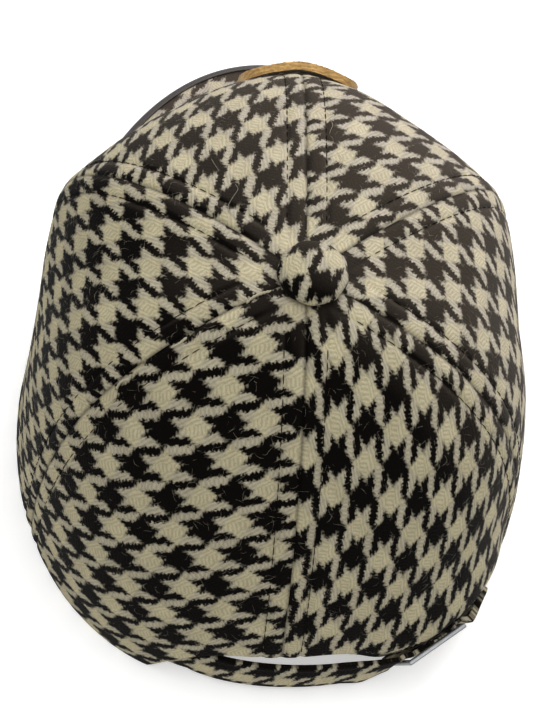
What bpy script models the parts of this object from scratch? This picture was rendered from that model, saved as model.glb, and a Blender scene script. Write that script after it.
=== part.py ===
"""Six-panel cap in houndstooth wool with a peak, modelled in metres with +Z up.

The peak points to -Y, the wearer's left is +X, and the rim rests on z = 0. Angles round the crown
run from the back (0) over the wearer's left (90) to the front (180). All is modelled round the
crown's axis, and at the end the middle of the cap's length is brought to the origin.
"""
import math

import bmesh
import bpy
from mathutils import Matrix, Vector

# Crown, measured on the outside of the cloth
RIM_HALF_WIDTH = 0.0872
RIM_BACK = 0.0990
RIM_FRONT = 0.0945
CROWN_HEIGHT = 0.1170
APEX_SETBACK = 0.0035
CLOTH = 0.0024
SEAM_GAP = 0.0004
APEX_HOLE_RADIUS = 0.0050

# How the wall rises from the rim: the exponent of height where it turns over, and its swell as a
# share of the reach at half height
WALL = {
    "back": {"turn": 1.20, "swell": 0.010},
    "side": {"turn": 3.05, "swell": -0.065},
    "front": {"turn": 6.40, "swell": 0.005},
}

# Seams: their angle from the back, and how far their ridge stands out as a share of the reach
BACK_SEAM = {"angle": 0.0, "ridge": 0.000}
BACK_SIDE_SEAM = {"angle": 65.0, "ridge": 0.010}
FRONT_SIDE_SEAM = {"angle": 128.0, "ridge": 0.115}
FRONT_SEAM = {"angle": 182.5, "ridge": 0.060}
RIDGE_SPREAD = 30.0

# Back opening and the strap below it
RIM_TUCK = {"depth": 0.080, "centre": -5.0, "focus": 6.0}
ARCH_HALF_WIDTH = 0.0410
ARCH_HEIGHT = 0.0275
ARCH_FLATNESS = 4.0
STRAP_HEIGHT = 0.0180
STRAP_CLOTH = 0.0015
STRAP_LIFT = 0.0028
STRAP_GAP = 0.0006
STRAP_SEWN_ANGLE = 33.0
STRAP_CROSSING = {"inside": 18.0, "outside": -18.0, "ease": 0.7}

# Slide buckle over the strap
BUCKLE_ANGLE = -31.5
BUCKLE_LENGTH = 0.0230
BUCKLE_RAIL = 0.0016
BUCKLE_CLEARANCE = 0.0004
BUCKLE_TURN = 1.5

# The slide draws the wall in below it, over an angle toward the free end and one toward the opening,
# and the wall swells out where the strap's upper edge presses on it: shares of the reach, and metres
BUCKLE_TUCK = {"depth": 0.082, "centre": -36.0, "to_end": 24.0, "to_opening": 20.0, "top": 0.0216, "swell": 0.023,
               "fades": 0.020, "bow": 0.85}

# The strap's free end: it comes out below the slide's front bar, and past it the cloth is doubled
TAB_LENGTH = 0.0270
TAB_CLOTH = 0.0015
TAB_DOUBLED = {"cloth": 0.0030, "standoff": 0.0014, "within": 0.0025, "settles": 0.0060}

# Peak
PEAK_HALF_SPAN = 57.0
PEAK_LENGTH = 0.0553
PEAK_TAPER = 1.3
PEAK_BOARD = 0.0030
PEAK_RISE = 0.0130
PEAK_TIP_FALL_SHARE = 0.85
PEAK_CORNER_LIFT = 0.0030

# Beyond the peak's corner the hem comes down between these angles
HEM_CORNER = {"over": 1.0, "floor": 3.6}

# Binding folded round the edge of the peak
BINDING_CLOTH = 0.0007
BINDING_FLANGE = 0.0010
BINDING_GAP = 0.0003

# Suede patch on the front seam
PATCH_WIDTH = 0.0380
PATCH_BOTTOM = 0.0400
PATCH_TOP = 0.0870
PATCH_THICKNESS = 0.0026
PATCH_GAP = 0.0005
PATCH_CORNER = 0.0030

# Covered button at the apex
BUTTON_RADIUS = 0.0102
BUTTON_HEIGHT = 0.0068
BUTTON_GAP = 0.0005

# Facets
PANEL_COLUMNS = 14
PANEL_ROWS = 13
PEAK_COLUMNS = 30
STRAP_COLUMNS = 26
ROUND_SEGMENTS = 32


def unit_turn(theta):
    """Angle in degrees, brought between -180 and 180."""
    return (theta + 180.0) % 360.0 - 180.0


def seam_angle(seam, side):
    """Angle of a seam on the wearer's left (1) or right (-1), from -180 to 180 and a little over."""
    if seam is FRONT_SEAM and side < 0:
        return seam["angle"] - 360.0
    return seam["angle"] if seam is FRONT_SEAM or seam is BACK_SEAM else side * seam["angle"]


def rim_reach(theta, depth=0.0):
    """Reach of the rim's oval at an angle, at a depth below the cloth's outer face."""
    sine, cosine = math.sin(math.radians(theta)), math.cos(math.radians(theta))
    length = (RIM_BACK if cosine > 0 else RIM_FRONT) - depth
    return 1.0 / math.hypot(sine / (RIM_HALF_WIDTH - depth), cosine / length)


def buckle_tuck(theta, share):
    """Share of the reach that the wall gives way behind the slide, below 0 where it swells."""
    away = unit_turn(theta - BUCKLE_TUCK["centre"])
    away /= BUCKLE_TUCK["to_opening" if away > 0 else "to_end"]
    below = BUCKLE_TUCK["top"] - share * CROWN_HEIGHT
    if below > 0:
        change = BUCKLE_TUCK["depth"] * (below / BUCKLE_TUCK["top"]) ** BUCKLE_TUCK["bow"] - BUCKLE_TUCK["swell"]
    else:
        change = -BUCKLE_TUCK["swell"] * math.exp(-(below / BUCKLE_TUCK["fades"]) ** 2)
    return max(1.0 - away ** 4, 0.0) ** 2 * change


def crown_reach(theta, share, depth=0.0):
    """Distance from the crown's axis to the cloth at an angle and a share of the height."""
    cosine = math.cos(math.radians(theta))
    part = {"back": max(cosine, 0.0) ** 2, "front": max(-cosine, 0.0) ** 2}
    part["side"] = 1.0 - part["back"] - part["front"]
    turn = sum(part[name] * WALL[name]["turn"] for name in WALL)
    swell = sum(part[name] * WALL[name]["swell"] for name in WALL)
    share = min(max(share, 0.0), 1.0)
    belly = math.sin(math.pi * share)
    ridge = 0.0
    for seam, sides in ((BACK_SEAM, (1,)), (BACK_SIDE_SEAM, (1, -1)), (FRONT_SIDE_SEAM, (1, -1)), (FRONT_SEAM, (1,))):
        for side in sides:
            away = abs(unit_turn(theta - seam_angle(seam, side))) / RIDGE_SPREAD
            ridge += seam["ridge"] * max(1.0 - away, 0.0) ** 1.5
    toward = max(math.cos(math.radians(theta - RIM_TUCK["centre"])), 0.0)
    tuck = RIM_TUCK["depth"] * toward ** RIM_TUCK["focus"] * (1.0 - share) ** 4 + buckle_tuck(theta, share)
    wall = math.sqrt(1.0 - share ** turn) * (1.0 + swell * belly)
    return rim_reach(theta, depth) * wall * (1.0 + ridge * belly) * (1.0 - tuck)


def crown_point(theta, share, depth=0.0):
    """Point of the cloth at a depth below its outer face."""
    reach = crown_reach(theta, share, depth)
    turn = math.radians(theta)
    return Vector((
        reach * math.sin(turn),
        reach * math.cos(turn) + APEX_SETBACK * share,
        (CROWN_HEIGHT - depth) * share,
    ))


def peak_corner():
    """Where the peak's outer edge meets the rim, on the wearer's left."""
    return crown_point(180.0 - PEAK_HALF_SPAN, 0.0)


def peak_forward_share(y):
    """0 at the peak's corners, 1 at its tip."""
    corner = peak_corner()
    tip = -(RIM_FRONT + PEAK_LENGTH)
    return min(max((corner.y - y) / (corner.y - tip), 0.0), 1.0)


def peak_height(x, y):
    """Height of the board's middle: arched across, and falling toward the tip."""
    arch = 1.0 - (x / peak_corner().x) ** 2
    fall = 1.0 - PEAK_TIP_FALL_SHARE * peak_forward_share(y)
    return PEAK_CORNER_LIFT + PEAK_RISE * arch * fall


def peak_edge(turn):
    """Outer edge of the board, from -90 to 90 degrees, with its outward direction."""
    corner = peak_corner()
    tip = RIM_FRONT + PEAK_LENGTH
    sine, cosine = math.sin(math.radians(turn)), max(math.cos(math.radians(turn)), 1e-6)
    forward = tip + corner.y
    point = Vector((corner.x * sine, corner.y - forward * cosine ** PEAK_TAPER, 0.0))
    slope = forward * PEAK_TAPER * cosine ** (PEAK_TAPER - 1) * sine
    return point, Vector((slope, -corner.x * cosine, 0.0)).normalized()


def binding_half_height():
    return PEAK_BOARD / 2 + BINDING_GAP + BINDING_CLOTH


def hem_height(theta):
    """Height of the crown's lower edge: an arch at the back, the peak's top at the front."""
    rim = crown_point(theta, 0.0)
    if rim.y > 0 and abs(rim.x) < ARCH_HALF_WIDTH:
        return ARCH_HEIGHT * (1.0 - (abs(rim.x) / ARCH_HALF_WIDTH) ** ARCH_FLATNESS)
    from_front = abs(unit_turn(theta - 180.0))
    beyond = (from_front - PEAK_HALF_SPAN - HEM_CORNER["over"]) / (HEM_CORNER["floor"] - HEM_CORNER["over"])
    near_corner = min(max(1.0 - (PEAK_HALF_SPAN - from_front) / 12.0, 0.0), 1.0)
    cover = PEAK_BOARD / 2 + near_corner * (BINDING_GAP + BINDING_CLOTH)
    inner = crown_point(theta, 0.0, CLOTH)
    board = max(peak_height(rim.x, rim.y), peak_height(inner.x, inner.y))
    over_peak = (board + cover + SEAM_GAP) / (1.0 - CLOTH / CROWN_HEIGHT)
    if beyond > 0:
        corner = peak_corner()
        over_peak = peak_height(corner.x, corner.y) + binding_half_height() + SEAM_GAP
    return over_peak * min(max(1.0 - beyond, 0.0), 1.0)


def column_angles(start, end):
    """Angles of a panel's columns, with a column on each corner of the hem."""
    angles = [start + (end - start) * k / PANEL_COLUMNS for k in range(PANEL_COLUMNS + 1)]
    arch = math.degrees(math.asin(ARCH_HALF_WIDTH / rim_reach(0.0)))
    peak = 180.0 - PEAK_HALF_SPAN
    corners = [arch, peak - HEM_CORNER["over"], peak - HEM_CORNER["floor"]]
    taken = {0, PANEL_COLUMNS}
    for corner in corners + [-corner for corner in corners]:
        if start < corner < end:
            free = [k for k in range(PANEL_COLUMNS + 1) if k not in taken]
            nearest = min(free, key=lambda k: abs(angles[k] - corner))
            angles[nearest] = corner
            taken.add(nearest)
    return sorted(angles)


def meridian(theta, rows):
    """Shares of the height at even steps along the cloth, from the hem to the apex hole."""
    low = hem_height(theta) / CROWN_HEIGHT
    steps = 80
    shares, lengths = [], [0.0]
    for k in range(steps + 1):
        rise = math.sin(math.pi / 2 * k / steps)
        shares.append(low + (1.0 - low) * rise)
    points = [crown_point(theta, share) for share in shares]
    for a, b in zip(points, points[1:]):
        lengths.append(lengths[-1] + (b - a).length)
    hole = next(
        length + (math.hypot(a.x, a.y - APEX_SETBACK) - APEX_HOLE_RADIUS)
        for a, b, length in zip(points, points[1:], lengths)
        if math.hypot(b.x, b.y - APEX_SETBACK) <= APEX_HOLE_RADIUS
    )
    found = []
    for row in range(rows + 1):
        goal = hole * row / rows
        k = max(i for i in range(steps) if lengths[i] <= goal)
        part = (goal - lengths[k]) / (lengths[k + 1] - lengths[k])
        found.append(shares[k] + (shares[k + 1] - shares[k]) * part)
    return found


def material(name, colour, roughness, metallic=0.0):
    made = bpy.data.materials.new(name)
    made.use_nodes = True
    shader = made.node_tree.nodes["Principled BSDF"]
    shader.inputs["Base Color"].default_value = (*colour, 1.0)
    shader.inputs["Roughness"].default_value = roughness
    shader.inputs["Metallic"].default_value = metallic
    made.diffuse_color = (*colour, 1.0)
    return made


def finish(name, bm, look, smooth=True):
    """Turn a bmesh into a named object of the cap's collection."""
    bmesh.ops.recalc_face_normals(bm, faces=bm.faces[:])
    if bm.calc_volume(signed=True) < 0:
        bmesh.ops.reverse_faces(bm, faces=bm.faces[:])
    mesh = bpy.data.meshes.new(name)
    bm.to_mesh(mesh)
    bm.free()
    mesh.materials.append(look)
    if smooth:
        mesh.shade_smooth()
        mesh.set_sharp_from_angle(angle=math.radians(40))
    made = bpy.data.objects.new(name, mesh)
    cap.objects.link(made)
    return made


def bent_block(name, columns, rows, place, look):
    """A flat block of cloth, one unit each way, bent to place(across, along, deep)."""
    bm = bmesh.new()
    bmesh.ops.create_grid(bm, x_segments=columns, y_segments=rows, size=0.5)
    raised = bmesh.ops.extrude_face_region(bm, geom=bm.faces[:])["geom"]
    bmesh.ops.translate(bm, vec=(0, 0, 1), verts=[v for v in raised if isinstance(v, bmesh.types.BMVert)])
    for vert in bm.verts:
        across, along, deep = vert.co.x + 0.5, vert.co.y + 0.5, vert.co.z
        vert.co = place(across, along, deep)
    return finish(name, bm, look)


def make_panel(name, start, end, look):
    """One gore of the crown between two seams, each edge half a gap from its seam."""
    inset = math.degrees(SEAM_GAP / 2 / APEX_HOLE_RADIUS)
    shares = {}
    angles = column_angles(start, end)

    def place(across, along, deep):
        column = round(across * PANEL_COLUMNS)
        theta = angles[column]
        if column not in shares:
            shares[column] = meridian(theta, PANEL_ROWS)
        share = shares[column][round(along * PANEL_ROWS)]
        if column in (0, PANEL_COLUMNS):
            reach = max(crown_reach(theta, share, CLOTH), APEX_HOLE_RADIUS / 2)
            trim = min(math.degrees(SEAM_GAP / 2 / reach), inset * 2)
            theta += trim if column == 0 else -trim
        return crown_point(theta, share, deep * CLOTH)

    return bent_block(name, PANEL_COLUMNS, PANEL_ROWS, place, look)


def make_peak(look):
    rows = 6

    def place(across, along, deep):
        turn = (across * 2 - 1) * 90.0
        inner = crown_point(180.0 - turn / 90.0 * PEAK_HALF_SPAN, 0.0, CLOTH)
        outer, _ = peak_edge(turn)
        x = inner.x + (outer.x - inner.x) * along
        y = inner.y + (outer.y - inner.y) * along
        return Vector((x, y, peak_height(x, y) + (0.5 - deep) * PEAK_BOARD))

    return bent_block("peak", PEAK_COLUMNS, rows, place, look)


def binding_limit():
    """Largest turn at which the binding's inner edge still clears the crown's wall."""
    turn = 90.0
    while turn > 45.0:
        point, outward = peak_edge(turn)
        inner = point - outward * (BINDING_FLANGE + SEAM_GAP)
        theta = math.degrees(math.atan2(inner.x, inner.y))
        if math.hypot(inner.x, inner.y) > rim_reach(theta) + SEAM_GAP:
            return turn
        turn -= 0.5
    return turn


def make_binding(look):
    """A strip folded round the board's edge: top flange, rounded end, bottom flange."""
    limit = binding_limit()
    inside = PEAK_BOARD / 2 + BINDING_GAP
    nose = BINDING_GAP + inside * 0.65
    fold = (
        (-BINDING_FLANGE, inside, 0.0, 1.0),
        (-BINDING_FLANGE / 2, inside, 0.0, 1.0),
        (BINDING_GAP, inside, 0.35, 1.0),
        (nose, inside * 0.45, 1.0, 0.35),
        (nose, -inside * 0.45, 1.0, -0.35),
        (BINDING_GAP, -inside, 0.35, -1.0),
        (-BINDING_FLANGE / 2, -inside, 0.0, -1.0),
        (-BINDING_FLANGE, -inside, 0.0, -1.0),
    )

    def place(across, along, deep):
        point, outward = peak_edge((across * 2 - 1) * limit)
        out, up, push_out, push_up = fold[round(along * (len(fold) - 1))]
        out += push_out * (1 - deep) * BINDING_CLOTH
        up += push_up * (1 - deep) * BINDING_CLOTH
        spot = point + outward * out
        return Vector((spot.x, spot.y, peak_height(spot.x, spot.y) + up))

    return bent_block("peak_binding", PEAK_COLUMNS, len(fold) - 1, place, look)


def make_patch(look):
    """Suede lying on the two front panels, its corners slightly rounded."""
    half_angle = math.degrees(math.asin(PATCH_WIDTH / 2 / RIM_FRONT))
    columns, rows = 12, 8

    def place(across, along, deep):
        from_edge = PATCH_WIDTH * min(across, 1 - across)
        short = max(PATCH_CORNER - from_edge, 0.0)
        corner = PATCH_CORNER - math.sqrt(max(PATCH_CORNER ** 2 - short ** 2, 0.0))
        low, high = PATCH_BOTTOM + corner, PATCH_TOP - corner
        z = low + (high - low) * along
        theta = FRONT_SEAM["angle"] - (across * 2 - 1) * half_angle
        return crown_point(theta, z / CROWN_HEIGHT, -PATCH_GAP - (1 - deep) * PATCH_THICKNESS)

    return bent_block("front_patch", columns, rows, place, look)


def strap_crossed(theta):
    """0 where the strap is still inside the crown, 1 once it lies outside."""
    part = (STRAP_CROSSING["inside"] - theta) / (STRAP_CROSSING["inside"] - STRAP_CROSSING["outside"])
    return min(max(part, 0.0), 1.0) ** STRAP_CROSSING["ease"]


def strap_point(theta, along, out):
    """Point on the strap: along from its lower edge to its upper, out from its inner face.

    It follows the crown's wall, on the inside where it is sewn and on the outside past the crossing.
    """
    z = STRAP_LIFT + STRAP_HEIGHT * along
    share = z / CROWN_HEIGHT
    inside = crown_reach(theta, share, CLOTH) - STRAP_GAP - STRAP_CLOTH
    outside = crown_reach(theta, share) + STRAP_GAP
    reach = inside + (outside - inside) * strap_crossed(theta) + out
    turn = math.radians(theta)
    return Vector((reach * math.sin(turn), reach * math.cos(turn) + APEX_SETBACK * share, z))


def buckle_reach(along=0.5):
    """Reach of the strap's inner face at the buckle."""
    spot = strap_point(BUCKLE_ANGLE, along, 0.0)
    return math.hypot(spot.x, spot.y)


def turn_of(length):
    """Angle that a length along the strap takes up at the buckle."""
    return math.degrees(length / buckle_reach())


def make_strap(look):
    def place(across, along, deep):
        theta = BUCKLE_ANGLE + (STRAP_SEWN_ANGLE - BUCKLE_ANGLE) * across
        return strap_point(theta, along, (1 - deep) * STRAP_CLOTH)

    return bent_block("back_strap", STRAP_COLUMNS, 3, place, look)


def eased(part):
    """From 0 to 1 with a soft start and end."""
    part = min(max(part, 0.0), 1.0)
    return part * part * (3 - 2 * part)


def tab_section(theta):
    """How far the free end's inner face stands off the strap's path, and its thickness."""
    past = (BUCKLE_ANGLE - theta) / turn_of(1.0) - BUCKLE_LENGTH / 2 - BUCKLE_CLEARANCE
    doubled = eased(past / TAB_DOUBLED["within"])
    settled = eased((past - TAB_DOUBLED["within"]) / TAB_DOUBLED["settles"])
    return TAB_DOUBLED["standoff"] * doubled * (1 - settled), TAB_CLOTH + (TAB_DOUBLED["cloth"] - TAB_CLOTH) * doubled


def make_tab(look):
    def place(across, along, deep):
        length = BUCKLE_CLEARANCE + TAB_LENGTH * across
        round_end = STRAP_HEIGHT / 2
        short = max(round_end - TAB_LENGTH * (1 - across), 0.0)
        half = 0.3 + 0.7 * math.sqrt(max(1 - (short / round_end) ** 2, 0.0))
        theta = BUCKLE_ANGLE - turn_of(length)
        standoff, thickness = tab_section(theta)
        return strap_point(theta, 0.5 + (along - 0.5) * half, standoff + (1 - deep) * thickness)

    return bent_block("buckle_tab", 18, 4, place, look)


def make_buckle(look):
    """A rectangular slide: a flat frame standing on the strap's outer face."""
    centre = strap_point(BUCKLE_ANGLE, 0.5, STRAP_CLOTH + BUCKLE_CLEARANCE)
    along = (strap_point(BUCKLE_ANGLE - 3, 0.5, 0) - strap_point(BUCKLE_ANGLE + 3, 0.5, 0)).normalized()
    outward = Vector((0, 0, 1)).cross(along)
    outward *= 1 if outward.dot(centre) > 0 else -1
    bm = bmesh.new()
    bmesh.ops.create_grid(bm, x_segments=3, y_segments=3, size=0.5)
    half_length = BUCKLE_LENGTH / 2
    half_height = STRAP_HEIGHT / 2 + BUCKLE_CLEARANCE + BUCKLE_RAIL
    lean = (buckle_reach(0.0) - buckle_reach(1.0)) / STRAP_HEIGHT
    for vert in bm.verts:
        column, row = round((vert.co.x + 0.5) * 3), round((vert.co.y + 0.5) * 3)
        vert.co.x = (-half_length, -half_length + BUCKLE_RAIL, half_length - BUCKLE_RAIL, half_length)[column]
        vert.co.y = (-half_height, -half_height + BUCKLE_RAIL, half_height - BUCKLE_RAIL, half_height)[row]
    middle = [f for f in bm.faces if f.calc_center_median().length < BUCKLE_RAIL]
    bmesh.ops.delete(bm, geom=middle, context="FACES")
    raised = bmesh.ops.extrude_face_region(bm, geom=bm.faces[:])["geom"]
    raised = [v for v in raised if isinstance(v, bmesh.types.BMVert)]
    bmesh.ops.translate(bm, vec=(0, 0, BUCKLE_RAIL), verts=raised)
    for vert in bm.verts:
        out = vert.co.z - lean * vert.co.y
        spot = centre + along * vert.co.x + outward * (out - vert.co.x * math.tan(math.radians(BUCKLE_TURN)))
        vert.co = Vector((spot.x, spot.y, centre.z + vert.co.y))
    return finish("strap_buckle", bm, look, smooth=False)


def make_button(look):
    """A domed disc on the apex, turned from a half profile."""
    seat = CROWN_HEIGHT + BUTTON_GAP
    bm = bmesh.new()
    bmesh.ops.create_uvsphere(bm, u_segments=ROUND_SEGMENTS, v_segments=12, radius=BUTTON_RADIUS)
    for vert in bm.verts:
        low = vert.co.z < 0
        vert.co.z *= (0.32 if low else 0.68) * BUTTON_HEIGHT / BUTTON_RADIUS
        vert.co.y += APEX_SETBACK
        vert.co.z += seat + 0.32 * BUTTON_HEIGHT
    return finish("top_button", bm, look)


for old in list(bpy.data.objects):
    bpy.data.objects.remove(old, do_unlink=True)

cap = bpy.data.collections.new("Houndstooth cap")
bpy.context.scene.collection.children.link(cap)

HOUNDSTOOTH = (0.30, 0.27, 0.20)
for side, sign in (("left", 1), ("right", -1)):
    for name, start, end in (
        ("back", BACK_SEAM, BACK_SIDE_SEAM),
        ("side", BACK_SIDE_SEAM, FRONT_SIDE_SEAM),
        ("front", FRONT_SIDE_SEAM, FRONT_SEAM),
    ):
        node = f"panel_{name}_{side}"
        low, high = sorted((seam_angle(start, sign), seam_angle(end, sign)))
        make_panel(node, low, high, material(node, HOUNDSTOOTH, 0.9))

make_button(material("button_cloth", HOUNDSTOOTH, 0.9))
make_peak(material("peak_cloth", HOUNDSTOOTH, 0.9))
make_binding(material("binding_leather", (0.075, 0.06, 0.055), 0.55))
make_patch(material("patch_suede", (0.50, 0.31, 0.12), 0.95))
make_strap(material("strap_cloth", HOUNDSTOOTH, 0.9))
make_tab(material("tab_cloth", HOUNDSTOOTH, 0.9))
make_buckle(material("buckle_metal", (0.60, 0.60, 0.58), 0.35, 1.0))

pieces = list(cap.objects)
reach_y = [vert.co.y for made in pieces for vert in made.data.vertices]
to_middle = Matrix.Translation((0.0, -(min(reach_y) + max(reach_y)) / 2, 0.0))
for made in pieces:
    made.data.transform(to_middle)
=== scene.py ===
"""Looks for the six-panel houndstooth wool cap: woven cloth, covered button, bound peak, suede patch,
back strap with its slide, top-stitching, camera and light."""
import math
import random
from collections import namedtuple
from contextlib import contextmanager

import bpy
import numpy as np
from mathutils import Matrix, Vector, noise


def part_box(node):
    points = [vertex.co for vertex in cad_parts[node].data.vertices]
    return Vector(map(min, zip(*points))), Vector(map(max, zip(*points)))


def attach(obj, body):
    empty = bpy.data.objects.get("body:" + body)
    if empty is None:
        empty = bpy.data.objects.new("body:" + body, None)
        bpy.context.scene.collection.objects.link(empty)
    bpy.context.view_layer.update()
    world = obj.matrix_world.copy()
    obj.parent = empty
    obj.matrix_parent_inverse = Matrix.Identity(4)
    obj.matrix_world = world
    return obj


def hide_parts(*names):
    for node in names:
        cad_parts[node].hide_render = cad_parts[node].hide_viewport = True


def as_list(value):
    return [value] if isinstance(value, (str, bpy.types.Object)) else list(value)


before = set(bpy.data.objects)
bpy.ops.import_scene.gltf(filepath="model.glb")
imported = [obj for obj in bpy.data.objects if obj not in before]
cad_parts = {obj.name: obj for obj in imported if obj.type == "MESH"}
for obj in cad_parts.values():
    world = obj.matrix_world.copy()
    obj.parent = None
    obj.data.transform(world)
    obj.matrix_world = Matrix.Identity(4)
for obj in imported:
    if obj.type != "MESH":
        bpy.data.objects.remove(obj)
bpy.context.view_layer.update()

# The crown's own axis in the frame: the button sits on it, set back a little
APEX_SETBACK = 0.0035
button_low, button_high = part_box("top_button")
AXIS_Y = (button_low.y + button_high.y) / 2 - APEX_SETBACK
HOLLOW_MIDDLE = np.array([0.0, AXIS_Y, 0.03])

# Crown, measured on the outside of the cloth, as it was cut for the solids
RIM_HALF_WIDTH = 0.0872
RIM_BACK = 0.0990
RIM_FRONT = 0.0945
CROWN_HEIGHT = 0.1170
CLOTH = 0.0024
APEX_HOLE_RADIUS = 0.0045
NEAR_APEX = 0.9995

# How the wall rises from the rim: the exponent of height where it turns over, and its swell as a
# share of the reach at half height
WALL = {
    "back": {"turn": 1.20, "swell": 0.010},
    "front": {"turn": 6.40, "swell": 0.005},
    "side": {"turn": 3.05, "swell": -0.065},
}

# Seams: their angle from the back over the wearer's left, and how far their ridge stands out as a
# share of the reach
BACK_SIDE_SEAM, SIDE_FRONT_SEAM, FRONT_SEAM = 65.0, 128.0, 182.5
RIDGES = {BACK_SIDE_SEAM: 0.010, -BACK_SIDE_SEAM: 0.010, SIDE_FRONT_SEAM: 0.115, -SIDE_FRONT_SEAM: 0.115,
          FRONT_SEAM: 0.060}
RIDGE_SPREAD = 30.0

# Back opening, and the wall drawn in at the rim above it
RIM_TUCK = {"depth": 0.080, "centre": -5.0, "focus": 6.0}
ARCH_HALF_WIDTH = 0.0410
ARCH_HEIGHT = 0.0275
ARCH_FLATNESS = 4.0

# Strap: it is sewn inside the left back panel, and crosses the opening to the outside of the right one
STRAP_HEIGHT = 0.0180
STRAP_CLOTH = 0.0015
STRAP_LIFT = 0.0028
STRAP_GAP = 0.0006
STRAP_SEWN_ANGLE = 33.0
STRAP_CROSSING = {"inside": 18.0, "outside": -18.0, "ease": 0.7}

# The slide draws the wall in below it, and the wall bulges over the strap's upper edge
BUCKLE_TUCK = {"depth": 0.082, "centre": -36.0, "to_end": 24.0, "to_opening": 20.0, "top": 0.0216,
               "swell": 0.023, "fades": 0.020, "bow": 0.85}
STRAP_LIP = {"rise": 0.0018, "start": 0.0212, "top": 0.0245, "end": 0.0480}

# Peak, and the angles beyond its corner between which the hem comes down
PEAK_HALF_SPAN = 57.0
PEAK_LENGTH = 0.0553
PEAK_TAPER = 1.3
PEAK_BOARD = 0.0030
PEAK_RISE = 0.0130
PEAK_TIP_FALL_SHARE = 0.85
PEAK_CORNER_LIFT = 0.0030
HEM_CORNER = {"over": 1.0, "floor": 3.6, "clearance": 0.001}

# How the cloth's repeat lies on a flat cut piece: its two lengths in metres, its phase in repeats, the
# lean of its two threads in degrees, and the thread where its twill starts
Lie = namedtuple("Lie", "repeat phase lean twill", defaults=((0.0, 0.0), 2))
PEAK_LIE = Lie((0.0130, 0.0148), (0.2, 0.1))
STRAP_LIE = Lie((0.0129, 0.0148), (0.072, 0.225))
TAB_LIE = Lie((0.0130, 0.0148), (0.846, 0.284))
BUTTON_LIE = Lie((0.01217, 0.01543), (0.293, 0.636), lean=(16.9, 192.8))

# Panels: from seam to seam, and how their cloth lies
Panel = namedtuple("Panel", "start end lie")
PANELS = {
    "panel_back_left": Panel(
        0.0, BACK_SIDE_SEAM, Lie((0.01358, 0.01482), (0.000, 0.063), lean=(10.6, 15.3), twill=2)),
    "panel_back_right": Panel(
        -BACK_SIDE_SEAM, 0.0, Lie((0.01244, 0.01440), (0.128, 0.812), lean=(-13.2, -24.6), twill=1)),
    "panel_side_left": Panel(
        BACK_SIDE_SEAM, SIDE_FRONT_SEAM, Lie((0.01298, 0.01504), (0.828, 0.509), lean=(7.6, -1.2), twill=2)),
    "panel_side_right": Panel(
        -SIDE_FRONT_SEAM, -BACK_SIDE_SEAM,
        Lie((0.01320, 0.01306), (0.357, 0.975), lean=(-6.5, 4.7), twill=1)),
    "panel_front_left": Panel(
        SIDE_FRONT_SEAM, FRONT_SEAM, Lie((0.01286, 0.01448), (0.741, 0.320), lean=(2.0, -1.0), twill=2)),
    "panel_front_right": Panel(
        FRONT_SEAM - 360.0, -SIDE_FRONT_SEAM,
        Lie((0.01270, 0.01528), (0.311, 0.474), lean=(-6.0, -4.6), twill=1)),
}


# Small sums that the shapes share

def wrap(theta):
    """Angle in degrees, brought between -180 and 180."""
    return (theta + 180.0) % 360.0 - 180.0


def direction(vectors):
    """Vectors brought to length 1, or left at 0."""
    return vectors / (np.linalg.norm(vectors, axis=-1, keepdims=True) + 1e-12)


def travelled(line):
    """Length along a line of points, up to each of them."""
    return np.concatenate([[0.0], np.cumsum(np.linalg.norm(np.diff(line, axis=0), axis=1))])


def hump(away, width):
    """1 at 0, falling to nothing over a few widths."""
    return np.exp(-(away / width) ** 2)


def eased(part):
    """From 0 to 1 with a soft start and end."""
    part = np.clip(part, 0.0, 1.0)
    return part * part * (3 - 2 * part)


def between(pair, part):
    """A share of the way from the first of a pair to the second."""
    return pair[0] + (pair[1] - pair[0]) * part


def drift(point, scale, seed):
    """Slow uneven swell of handled cloth, between about -1 and 1."""
    return noise.noise(Vector(point) * scale + Vector((seed * 7.3, seed * 3.1, seed * 1.7)))


# Shapes of the crown, its hem and the peak

def rim_reach(theta, depth=0.0):
    """Reach of the rim's oval at an angle from the back."""
    sine, cosine = np.sin(np.radians(theta)), np.cos(np.radians(theta))
    length = np.where(cosine > 0, RIM_BACK, RIM_FRONT) - depth
    return 1.0 / np.hypot(sine / (RIM_HALF_WIDTH - depth), cosine / length)


def beside_slide(theta):
    """1 behind the slide, 0 where its pull on the wall ends."""
    away = wrap(theta - BUCKLE_TUCK["centre"])
    away = away / np.where(away > 0, BUCKLE_TUCK["to_opening"], BUCKLE_TUCK["to_end"])
    return np.maximum(1.0 - away ** 4, 0.0) ** 2


def buckle_tuck(theta, share):
    """Share of the reach that the wall gives way behind the slide, below 0 where it swells."""
    below = BUCKLE_TUCK["top"] - share * CROWN_HEIGHT
    inward = BUCKLE_TUCK["depth"] * (np.maximum(below, 0.0) / BUCKLE_TUCK["top"]) ** BUCKLE_TUCK["bow"]
    swell = BUCKLE_TUCK["swell"] * hump(np.minimum(below, 0.0), BUCKLE_TUCK["fades"])
    return beside_slide(theta) * (inward - swell)


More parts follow.
